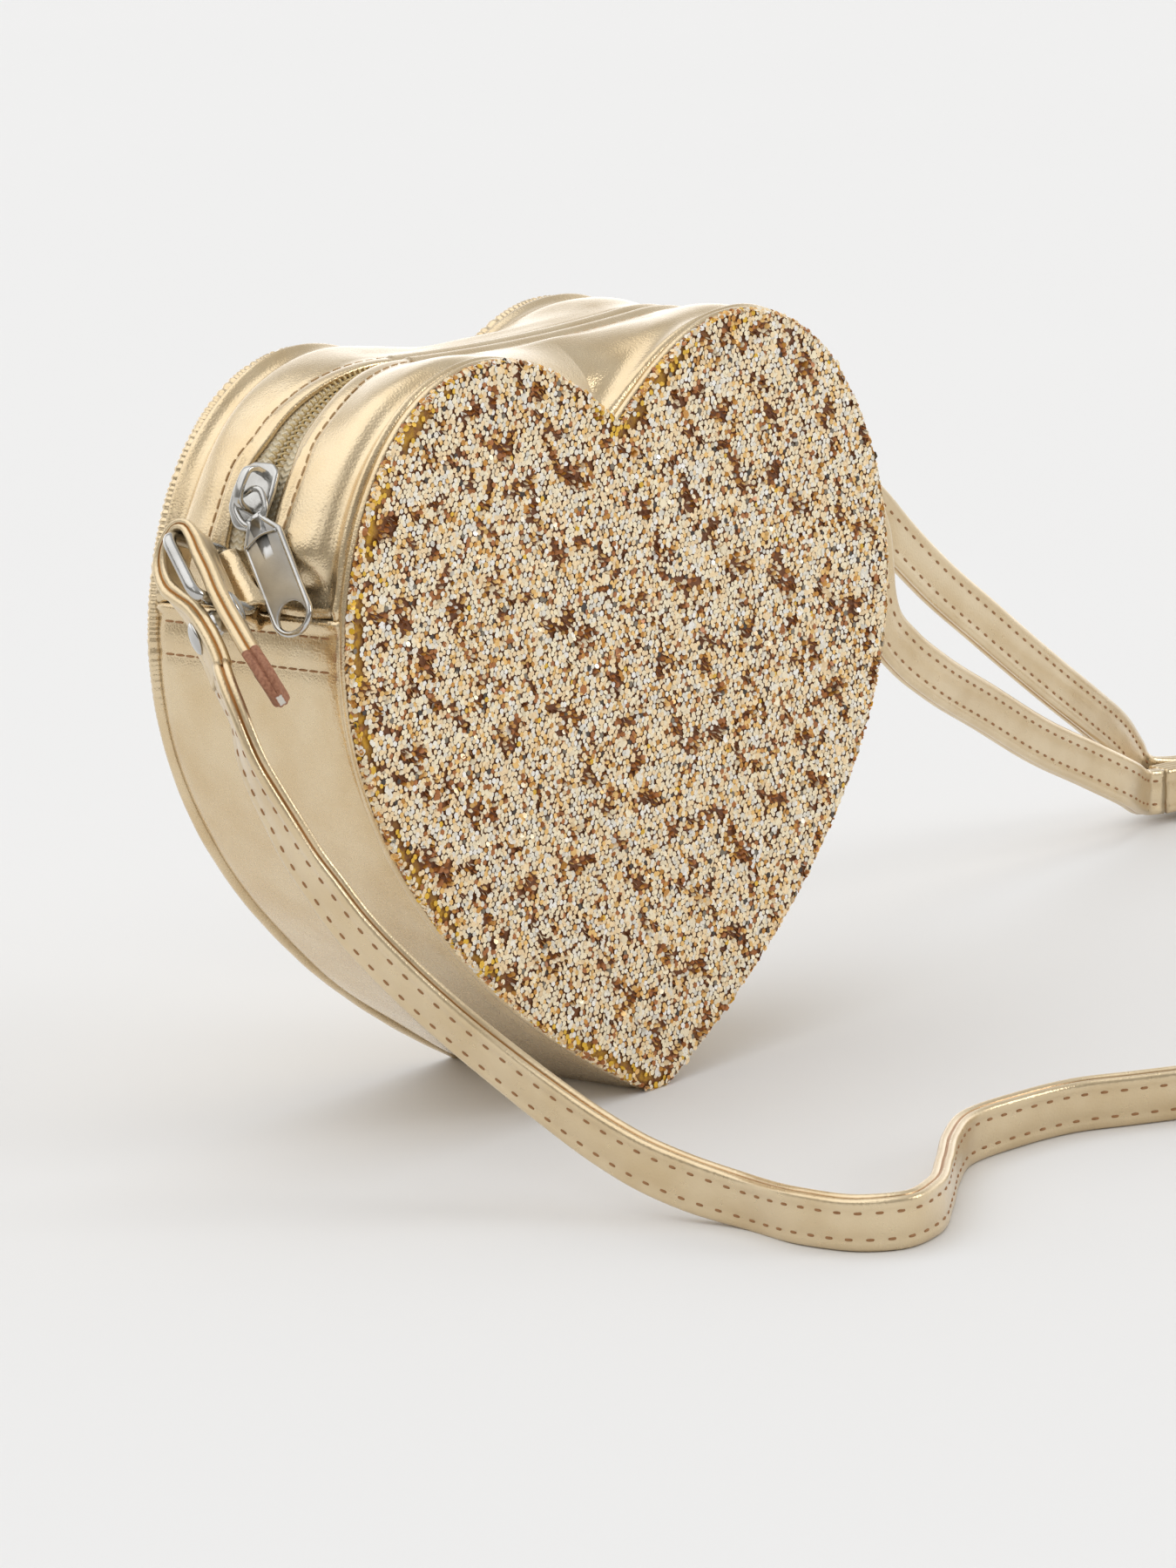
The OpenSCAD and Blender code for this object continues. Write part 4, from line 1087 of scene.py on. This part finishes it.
def soft_plate(outline, z0, z1, r, bend=0.0):
    """A plate with rounded edges: outlines shrink near both faces. bend drops it by x squared."""
    a = np.linspace(0, np.pi / 2, 5)
    levels = [(r * (1 - math.sin(x)), z0 + r * (1 - math.cos(x))) for x in a]
    levels += [(r * (1 - math.cos(x)), z1 - r * (1 - math.sin(x))) for x in a]
    rows = [np.column_stack([shrink(outline, d), np.full(len(outline), z)]) for d, z in levels]
    for z, end in ((z0, 0), (z1, -1)):
        rim = rows[end]
        middle = rim.mean(0)
        inner = [middle + (rim - middle) * f for f in ((0.04, 0.5) if end == 0 else (0.5, 0.04))]
        rows = inner + rows if end == 0 else rows + inner
    grid = np.stack(rows)
    grid[..., 2] -= bend * grid[..., 0] ** 2
    return grid, tube_faces(*grid.shape[:2])


# %% Slider
half_shield = [(6.1, 2.2), (4.6, 4.1), (1.0, 4.7), (-2.6, 4.5), (-5.4, 2.6), (-6.1, 1.2)]
shield = round_corners([(6.1, -2.2)] + half_shield + [(x, -y) for x, y in half_shield[:0:-1]], 0.7)
BEND = 0.5 / LOBE_R
for name, z0, z1, stands in (("slider_top", 0.32, 1.75, ["zip_slider"]), ("slider_under", -3.8, -2.35, [])):
    plate, faces = soft_plate(shield, z0, z1, 0.55, BEND)
    add_piece(name, place_in(slider_at, slider_axes, plate), faces, "slider", NICKEL, stands)
web, faces = soft_plate(round_corners([(3, -0.24), (3, 0.24), (-3, 0.24), (-3, -0.24)], 0.1), -2.6, 0.6, 0.05)
add_piece("slider_web", place_in(slider_at, slider_axes, web), faces, "slider", NICKEL)
arch = smooth_line([(-2.95, 0, 0.9), (-2.95, 0, 2.6), (-2.9, 0, 4.2), (-2.3, 0, 5.5), (-0.9, 0, 6.0),
                    (1.4, 0, 6.0), (3.1, 0, 5.5), (3.8, 0, 4.2), (3.9, 0, 2.6), (3.9, 0, 0.9)], 0.35)


def rounded_box(a, half_w, half_t, power=0.55):
    """Points at the angles a of an oval whose corners are fuller the smaller the power is."""
    c, s = np.cos(a), np.sin(a)
    return np.stack([np.sign(c) * np.abs(c) ** power * half_w, np.sign(s) * np.abs(s) ** power * half_t], 1)


arch_rings = carry(rounded_box(np.arange(20) * np.pi / 10, 0.85, 0.58), arch + [0, BRIDGE_Y, 0],
                   np.broadcast_to([0, 1.0, 0], arch.shape))
add_run("slider_arch", slider_at, slider_axes, arch_rings, "slider", NICKEL)

# %% [markdown]
# ### The puller
# It is stamped from sheet, with a raised rim all round and a hole at its end that a thumbnail fits
# in. A plate with one hole closes on itself like a flat tyre, so one grid that is closed both ways
# can make it. The rim is a closed tube, and the bail that holds it to the slider is a bent wire.

# %% Puller
def framed_plate(outer, inner, t, r):
    """A plate with one hole: rings run over the top, round the hole's edge, below and back."""
    a = np.linspace(0, np.pi / 2, 5)
    flat = np.linspace(0, 1, 5)[1:-1]
    rows = []
    for x in a:
        rows.append((shrink(outer, r * (1 - math.sin(x))), -t / 2 + r * (1 - math.cos(x))))
    for x in a:
        rows.append((shrink(outer, r * (1 - math.cos(x))), t / 2 - r * (1 - math.sin(x))))
    for f in flat:
        rows.append((shrink(outer, r) * (1 - f) + shrink(inner, -r) * f, t / 2))
    for x in a[::-1]:
        rows.append((shrink(inner, -r * (1 - math.cos(x))), t / 2 - r * (1 - math.sin(x))))
    for x in a[::-1]:
        rows.append((shrink(inner, -r * (1 - math.sin(x))), -t / 2 + r * (1 - math.cos(x))))
    for f in flat:
        rows.append((shrink(inner, -r) * (1 - f) + shrink(outer, r) * f, -t / 2))
    grid = np.stack([np.column_stack([p, np.full(len(p), z)]) for p, z in rows])
    return grid, [grid_faces(*grid.shape[:2], round_rows=True, round_cols=True)]


PULLER_END, PULLER_HALF, NECK = -27.0, 4.0, -5.2


def puller_edge(half, foot, neck_half, neck, top):
    """Outline from the middle of the foot, anticlockwise: round foot, straight sides, sloped neck."""
    a = np.linspace(-np.pi / 2, 0, 15)[:-1]
    foot_arc = np.stack([foot + half * (1 + np.sin(a)), half * np.cos(a)], 1)
    x0 = foot + half
    side = np.stack([np.linspace(x0, neck - 3.4, 14), np.full(14, half)], 1)
    slope = np.stack([np.linspace(neck - 3.2, neck, 6), np.linspace(half - 0.1, neck_half, 6)], 1)
    end = np.stack([np.linspace(neck, top, 4)[1:], np.full(3, neck_half)], 1)
    lower = np.concatenate([foot_arc, side, slope, end])
    return np.concatenate([lower, lower[:0:-1] * [1, -1]])


outer = puller_edge(PULLER_HALF, PULLER_END, 1.7, NECK, NECK + 1.0)[::-1]
cut_a = np.linspace(0, 2 * np.pi, len(outer), endpoint=False) + np.pi
hole_x = np.where(np.cos(cut_a) < 0, -24.0 + 1.9 * np.cos(cut_a), -24.0 + 3.1 * np.cos(cut_a))
inner = np.stack([hole_x, -2.85 * np.sin(cut_a)], 1)[::-1]
inner = np.roll(inner, 1, 0)
plate, faces = framed_plate(outer, inner, 0.9, 0.3)
add_piece("puller_plate", place_in(puller_at, puller_axes, plate), faces, "puller", BRUSHED, ["zip_puller"])
edge = np.column_stack([shrink(outer, 0.45), np.zeros(len(outer))])
rings, faces = closed_tube(edge, 0.52, [0, 0, 1.0], 1.25, 10)
add_piece("puller_rim", place_in(puller_at, puller_axes, rings), faces, "puller", NICKEL)
half_bail = [(-5.6, 1.5, 0), (-4.4, 2.4, 0), (-2.6, 2.85, 0), (-0.7, 2.6, 0), (0, 1.7, 0)]
bail = [(x, -y, z) for x, y, z in half_bail] + [(0.15, 0, 0)] + half_bail[::-1]
shoulder = [(-8.9, -3.3, 0.62), (-8.2, 0, 0.62), (-8.9, 3.3, 0.62)]
for name, points, section in (("puller_bail", bail, circle(0.52, 10, 0.56)),
                              ("puller_shoulder", shoulder, circle(0.28, 8))):
    line = smooth_line(points, 0.4)
    rings = carry(section, line, np.broadcast_to([0, 0, 1.0], line.shape))
    add_run(name, puller_at, puller_axes, rings, "puller", NICKEL)

# %% [markdown]
# ## Rings, tabs and the riveted end
# Each ring is one bent wire. A leather tab goes round one arm of it, gathered by its stitching
# until it looks like a crumpled bow. On the left the strap passes round the ring's two bars and
# is riveted to itself. Its tail ends raw, so the brown core shows.

# %% Rings
left_axes = turned(("y", 20), ("x", -45))
left_at = np.array([-LOBE_X - LOBE_R * math.cos(math.radians(SLIDER_A)) - 7.2, 1.2,
                    LOBE_Z + LOBE_R * math.sin(math.radians(SLIDER_A)) - 7.9])
right_axes = turned(("y", 40), ("x", 45), ("z", 180))
right_at = np.array([HALF_W + 5.5, 0, LOBE_Z + 6.3])


WIRE_R, BEND_R = 1.1, 2.4


def wire_ring(corners):
    """A closed wire through rounded corners, given in the plane of the ring."""
    p = round_corners(corners, BEND_R, 9)
    line = []
    for a, b in zip(p, np.roll(p, -1, 0)):
        steps = max(1, int(np.linalg.norm(b - a) / 0.8))
        line.append(a + (b - a) * np.arange(steps)[:, None] / steps)
    return closed_tube(as_3d(np.concatenate(line), 0.0), WIRE_R, [0, 1.0, 0])


rings, faces = wire_ring([(0, 0), (-14, 0), (-14, -13), (0, -13)])
add_piece("left_wire", place_in(left_at, left_axes, rings), faces, "left_ring", NICKEL, ["ring_left"])
rings, faces = wire_ring([(0, 7), (-13, 7), (-13, -7), (0, -7)])
add_piece("right_wire", place_in(right_at, right_axes, rings), faces, "right_ring", NICKEL, ["ring_right"])

# %% [markdown]
# ### The tabs
# A tab is a strip of the bag's leather, folded round the ring's arm and sewn into the side seam.
# The stitching gathers it, so the left one looks like a crumpled bow. A flat band is carried round
# the wire, and then pleats, a hollow and soft waves are added, more of them towards the bag.

# %% Leather bands that go round something
def flat_section(width, thick, n=9):
    """A band's section: straight faces and rounded edges."""
    a = np.linspace(-np.pi / 2, np.pi / 2, n)
    edge = np.stack([width / 2 - thick / 2 + thick / 2 * np.cos(a), thick / 2 * np.sin(a)], 1)
    reach = width / 2 - thick / 2
    top = np.stack([np.linspace(reach, -reach, 12)[1:-1], np.full(10, thick / 2)], 1)
    return np.concatenate([edge, top, edge * -1, top * -1])


def crumpled_tab(name, origin, axes, lean, z0, node_name, seed, width, reach, bulge, spread, pleat,
                 hollow=0.0):
    """A band round a ring's arm, out of the bag and back, spread or gathered towards the bag."""
    c, s = math.cos(math.radians(lean)), math.sin(math.radians(lean))
    r = 2.02
    a = np.linspace(-np.pi / 2, -3 * np.pi / 2, 15)
    x = np.linspace(reach, 0.5, 24)
    one = np.stack([x, -r - bulge[0] * np.sin(np.pi * x / reach) ** 2], 1)
    two = np.stack([x[::-1], r + bulge[1] * np.sin(np.pi * x[::-1] / reach) ** 2], 1)
    loop = np.concatenate([one, np.stack([r * np.cos(a), r * np.sin(a)], 1), two])
    path = np.column_stack([loop, np.full(len(loop), z0)])
    far = np.clip(path[:, :1] / reach, 0, 1)
    rings = carry(flat_section(width, 1.1), path, np.broadcast_to([0, 0, 1.0], path.shape),
                  np.concatenate([1 + spread * far ** 1.3, 1 + 0 * far], 1))
    _, w, n = frames_along(path, np.broadcast_to([0, 0, 1.0], path.shape))
    along = np.cumsum(np.concatenate([[0], np.linalg.norm(np.diff(path, axis=0), axis=1)]))[:, None]
    across = rings[..., 2] - z0
    ripple = pleat * np.sin(across * 2.1 + 1.3 * np.sin(along * 0.45)) * far
    ripple = ripple + 0.2 * waves(along, across, 5, 2, 14, seed)
    rings = rings + n[:, None] * (ripple * (0.3 + 0.7 * np.sqrt(far)))[..., None]
    dent = hollow * bump(rings[..., 2], z0 - width * 0.27, width * 0.16)
    rings[..., 1] += dent * (rings[..., 1] < 0) * far ** 0.5
    rings[..., 2] -= spread * 2.2 * far ** 1.3 + 0.35 * waves(along, 0 * across, 7, 3, 8, seed + 1) * far
    leaning = rings.copy()
    leaning[..., 0] = rings[..., 0] * c - rings[..., 1] * s
    leaning[..., 1] = rings[..., 0] * s + rings[..., 1] * c
    add_run(name, origin, axes, leaning, "bag", GOLD, [node_name])


crumpled_tab("left_tab", left_at, left_axes, 8, -7.2, "tab_left", 31, 12.0, 9.5, (1.5, 1.1), -0.2, 0.55, 2.6)
crumpled_tab("right_tab", right_at, right_axes, 0, 0.0, "tab_right", 37, 5.4, 8.5, (0.6, 0.6), 0.0, 0.42)

# %% [markdown]
# ### The riveted loop
# The strap's end goes over the ring's bar, lies on the strap and is riveted to it. Its tip is cut
# raw, so brown board shows there and the pale core in the middle of it. The strap's own section is
# carried round the bar, a little thinner where it folds and where the rivet has pressed it.

# %% The riveted loop and the turn on the right
# Middle of the strap and its turn about its length, from the raw tip over the ring's bar and down
loop_rows = smooth_line([
    (-8.85, -2.5, -36.3, 30), (-8.85, -2.15, -31.6, 30), (-8.85, -1.6, -27, 30), (-8.8, -1.35, -22.5, 29),
    (-8.75, -1.15, -18, 28), (-8.7, -1.2, -13.5, 26), (-8.65, -1.55, -9, 25), (-8.65, -1.65, -5.5, 24),
    (-8.6, -1.95, -2, 22), (-8.5, -1.7, 0.3, 20), (-8.4, -0.5, 1.65, 16), (-8.4, 1.0, 1.85, 14),
    (-8.4, 3.1, 1.2, 13), (-8.4, 5.2, -0.6, 13), (-8.5, 6.5, -3.4, 16), (-8.55, 6.75, -6.2, 20),
    (-8.8, 6.0, -9.6, 28), (-9.2, 5.2, -13.3, 40), (-9.5, 4.9, -16.6, 46), (-9.45, 4.8, -19.8, 47),
    (-9.3, 5.05, -23.0, 48), (-9.25, 5.35, -25.0, 48)], 0.7)
loop_path, turn_at = loop_rows[:, :3], np.radians(loop_rows[:, 3])
across = np.stack([np.cos(turn_at), np.sin(turn_at), 0 * turn_at], 1)
s = np.cumsum(np.concatenate([[0], np.linalg.norm(np.diff(loop_path, axis=0), axis=1)]))
tip = 1 - 0.45 * (1 - ease(s, 0, 1.8))
fold_at = s[loop_path[:, 2].argmax()]
narrow = np.stack([tip * (0.86 + 0.14 * ease(s, 45, 65)), tip * (1 - 0.42 * bump(s, fold_at, 5))], 1)
rings = carry(strap_section, loop_path, across, narrow)
raw = np.repeat(1 - ease(s, 8.2, 9.8), strap_section.shape[0])
# Five rows close the raw tip: their share of its first row and how far they stand beyond it
END_SHARES, END_STEPS = np.array([0.02, 0.3, 0.55, 0.72, 0.92]), np.array([0.35, 0.33, 0.3, 0.34, 0.2])
CORE_ROWS = 3
tip_middle = rings[0].mean(0)
end_rows = tip_middle + (rings[0] - tip_middle) * END_SHARES[:, None, None]
end_rows[..., 2] -= END_STEPS[:, None]
rings = np.concatenate([end_rows, rings])
core = np.repeat((np.arange(len(rings)) < CORE_ROWS) * 1.0, strap_section.shape[0])
raw = np.concatenate([np.ones(len(end_rows) * strap_section.shape[0]), raw])
print("loop ends at", np.round(place_in(left_at, left_axes, loop_path[-1]), 2))


def loop_nodes(tree):
    """The strap's leather, with rough brown board where it is raw and the pale core at its tip."""
    nodes = strap_nodes(tree)
    bare = (stored(tree, "raw") + (noise(tree, 900, 3) - 0.5) * 0.5).between(0.45, 0.6)
    rough = mix(noise(tree, 1800, 3).between(0.35, 0.7), colour(176, 122, 92), colour(140, 88, 62))
    worn = mix(bare, nodes["Base_Color"], rough)
    nodes["Base_Color"] = mix(stored(tree, "core"), worn, colour(226, 220, 210))
    nodes["Roughness"] = nodes["Roughness"] + bare * 0.35
    nodes["Metallic"] = (1 - bare) * 0.78
    return nodes


LOOP = finish("strap_end_leather", loop_nodes)
add_run("riveted_loop", left_at, left_axes, rings, "left_ring", LOOP, ["strap_end_loop"],
        {"raw": raw, "core": core, "groove": np.tile(groove_shade_mask, len(rings))})
BAR_X, TURN_R = -13, 2.75
turn_a = np.linspace(np.pi * 3, np.pi * 1.5, 26)
turn_line = np.stack([BAR_X + TURN_R * np.cos(turn_a), TURN_R * np.sin(turn_a), 0 * turn_a], 1)
turn_line = turn_line[(turn_line[:, 0] > BAR_X - 0.05) | (turn_line[:, 1] > -0.05)]
rings = carry(strap_section, turn_line, np.broadcast_to([0, 0, 1.0], turn_line.shape))
add_run("right_turn", right_at, right_axes, rings, "right_ring", STRAP, ["strap_turn"])

# %% [markdown]
# ### The rivet
# A hollow rivet with a domed cap on each side. Each cap and the post is a profile turned about its
# axis. The loop's two layers are looked up at the rivet's height, so it always sits on them.

# %% Rivets
def turned_piece(profile, middle, axis, n=28):
    """Rings of (radius, height) turned about an axis through middle, and the faces that close them."""
    u = unit(np.cross(axis, [0, 0, 1.0]))
    v = np.cross(axis, u)
    a = np.arange(n) * 2 * np.pi / n
    r, h = np.array(profile).T
    around = np.cos(a)[None, :, None] * u + np.sin(a)[None, :, None] * v
    grid = middle + h[:, None, None] * axis + r[:, None, None] * around
    return grid, flipped(tube_faces(len(r), n))


CAP = [(0.02, 0.85), (1.1, 0.78), (1.9, 0.6), (2.5, 0.34), (2.85, 0.1), (2.8, -0.1), (1.6, -0.14),
       (1.1, -0.5)]
half_post = [(1.2, 2.2), (1.7, 1.3), (2.3, 0.9)]
POST = half_post + [(2.4, 0.0)] + [(r, -h) for r, h in half_post[::-1]]
RIVET_Z, CAP_LIFT = -16.3, 1.5
layers, outs = [], []
for towards_tip in (True, False):
    half = loop_rows[:len(loop_rows) // 2] if towards_tip else loop_rows[len(loop_rows) // 2:]
    *layer, turn = half[np.abs(half[:, 2] - RIVET_Z).argmin()]
    turn = math.radians(turn)
    layers.append(np.array(layer))
    outs.append(np.array([-math.sin(turn), math.cos(turn), 0]) * (-1 if towards_tip else 1))
rivet = [(CAP, layer + out * CAP_LIFT, out) for layer, out in zip(layers, outs)]
rivet.append((POST, (layers[0] + layers[1]) / 2, unit(layers[1] - layers[0])))
grids, faces, start = [], [], 0
for profile, middle, axis in rivet:
    grid, sides = turned_piece(profile, middle, axis)
    grids.append(grid.reshape(-1, 3))
    faces += [f + start for f in sides]
    start += len(grids[-1])
add_piece("left_rivet", place_in(left_at, left_axes, np.concatenate(grids)), faces, "left_ring", NICKEL,
          ["strap_rivet"])

# %% [markdown]
# ## Sewing the bag
# The thread is what makes the bag look sewn: two brown rows under the side seam, and a paler row
# beside each edge of the zip's opening. Each stitch is a small flattened bead, set on the leather
# with its length along the seam.

# %% Sew the bag
def row_of_stitches(line, out, pitch, length, width):
    """Beads every pitch along a line on a surface, with the surface's normals."""
    c, along, (n,) = walk(line, [out], pitch)
    return stitch_points(c, along, unit(n), length, width)


def at_level(values, z, level):
    """For each column between the welts, the values of the skin where its height passes a level."""
    return np.stack([np.stack([np.interp(level, z, values[:, c, k]) for k in range(3)])
                     for c in range(2, 43)])


SEAM_ROWS, SEWING_PITCH, SET_OFF, MIDDLE_COLUMN = (92.2, 86.6), 2.45, 0.05, 22
rows_made = []
lower_n = outward_normals(lower_skin, LOWER_MIDDLE)
for side in (slice(0, len(run) // 2), slice(len(run) // 2, None)):
    z = lower_skin[side, MIDDLE_COLUMN, 2]
    order = np.argsort(z)
    for level in SEAM_ROWS:
        line = at_level(lower_skin[side][order], z[order], level)
        out = at_level(lower_n[side][order], z[order], level)
        rows_made.append(row_of_stitches(line + out * SET_OFF, out, SEWING_PITCH, 2.05, 0.4))
for name, (skin, j, y) in top_skins.items():
    n = outward_normals(skin, TOP_MIDDLE)
    target = opening(j) + 3.3
    column = np.abs(y - target[:, None]).argmin(1)
    exact = np.stack([[np.interp(target[i], y[i, ::-1], skin[i, ::-1, k]) for k in range(3)]
                      for i in range(len(j))])
    normal = n[np.arange(len(j)), column]
    sewn = slice(4, -4)
    rows_made.append(row_of_stitches((exact + normal * SET_OFF)[sewn], normal[sewn], SEWING_PITCH, 1.9, 0.36))
for name, rows_of_beads, thread in (("seam_stitches", rows_made[:4], THREAD),
                                    ("zip_stitches", rows_made[4:], PALE_THREAD)):
    beads = np.concatenate(rows_of_beads)
    add_piece(name, beads, [stitch_faces(len(beads))], "bag", thread)

# %% [markdown]
# ## The inside
# The lining hangs a little loose behind the boards and under the gussets, so it is drawn again
# with soft waves.

# %% Linings
LINING = finish("lining_cloth", lambda tree: {
    "Base_Color": mix(noise(tree, 900, 3), colour(236, 224, 198), colour(214, 198, 166)),
    "Normal": relief(cells(tree, 2600), 0.0002, 0.5)}, Roughness=0.8)
BOARD = finish("board", lambda tree: {
    "Base_Color": mix(noise(tree, 300, 4), colour(186, 162, 124), colour(160, 136, 98))}, Roughness=0.85)
heart_plate("front_lining_cloth", [(2.2, -21.2), (2.2, -20.95), (2.6, -20.8)], -21.25, 0.4, LINING,
            ["front_lining"], 1)
heart_plate("back_lining_cloth", [(2.2, 20.8), (2.2, 20.55), (2.6, 20.4)], 20.85, 0.4, LINING,
            ["back_lining"], -1)
depth = np.linspace(-21.3, 21.3, 25)
half = lower_half(1.7, 70)
run_in = np.concatenate([half[::-1] * [-1, 1], half])
skin = as_3d(run_in[:, None, :] + 0 * depth[None, :, None], depth[None, :])
n = outward_normals(skin, LOWER_MIDDLE)
length = np.cumsum(np.concatenate([[0], np.linalg.norm(np.diff(run_in, axis=0), axis=1)]))[:, None]
loose = waves(length, skin[..., 1], 40, 9, 14, 41) * ease(21.3 - np.abs(skin[..., 1]), 0, 4)
skin = skin - n * (0.25 + 0.25 * loose)[..., None]
thicken(add_piece("gusset_lining_cloth", skin, [grid_faces(*skin.shape[:2])], "bag", LINING,
                  ["lower_gusset_lining"]), 0.35)
for sign, name in ((-1, "front"), (1, "back")):
    j = np.linspace(0.1, 39.9, 160)[:, None]
    y = np.linspace(21.3, 8.5, 14)[None]
    share = (WALL_Y - np.clip(y, 0, WALL_Y)) / (WALL_Y - 8.4)
    share = share * (1.4 - 0.4 * share)
    j2, y2 = j + 0 * y, y + 0 * j
    outer = whole(upper, j2, 1.7 + 0 * j2)
    flat = outer + (whole(zip_line, j2, 1.9 + 0 * j2) - outer) * (share + 0 * j)[..., None]
    skin = as_3d(flat, sign * y2)
    hang = 0.25 * (1 + waves(j2 * 8, y2, 40, 9, 14, 43 if sign < 0 else 44))
    skin[..., 2] -= hang * ease(y2, 9, 12) * ease(21.3 - y2, 0, 4)
    faces = grid_faces(*skin.shape[:2])
    thicken(add_piece("top_lining_cloth_" + name, skin, [faces if sign < 0 else faces[:, ::-1]], "bag",
                      LINING, ["top_lining_" + name]), 0.35)

# %% [markdown]
# ### The loop at the slide buckle
# The strap's other end goes round the middle bar of the slide buckle and back along itself. The
# buckle lies outside the photograph, so this is the usual way such a strap is made.

# %% The strap's end at the slide buckle
SLIDE_AT, SLIDE_ANGLE, SLIDE_BAR_X, SLIDE_Z = [243, 17, 0], -15, -13, 6.8
slide_turn = math.radians(SLIDE_ANGLE)
slide_axes = np.array([(math.cos(slide_turn), math.sin(slide_turn), 0),
                       (-math.sin(slide_turn), math.cos(slide_turn), 0), (0, 0, 1.0)])
half_loop = [(-18.0, 1.62), (-14.0, 1.62), (-11.0, 1.62), (-6.0, 2.0), (-2.2, 2.55), (0.0, 2.68), (1.6, 2.1),
             (2.5, 1.0), (2.7, 0.0)]
whole_loop = half_loop + [(x, -y) for x, y in half_loop[-2::-1]]
line = smooth_line([(x + SLIDE_BAR_X, y, SLIDE_Z) for x, y in whole_loop], 0.7)
rings = carry(strap_section, line, np.broadcast_to([0, 0, 1.0], line.shape))
add_run("slide_end", SLIDE_AT, slide_axes, rings, "bag", STRAP, ["slide_end_loop"],
        {"groove": np.tile(groove_shade_mask, len(line))})

# %% [markdown]
# ### Pieces that keep their shape
# The boards, the end stops and the slide buckle are plain plates and pins on the real bag too, so
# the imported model's own shapes are shown, and only get a finish.

# %% Finishes for the kept nodes
for finish_made, names in (
        (BOARD, ["front_stiffener_board", "back_stiffener_board"]),
        (NICKEL, ["zip_end_stops", "slide_buckle", "slide_rivet"])):
    for name in names:
        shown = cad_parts[name]
        shown.data.materials.clear()
        shown.data.materials.append(finish_made)
        print(name, "wears", finish_made.name)
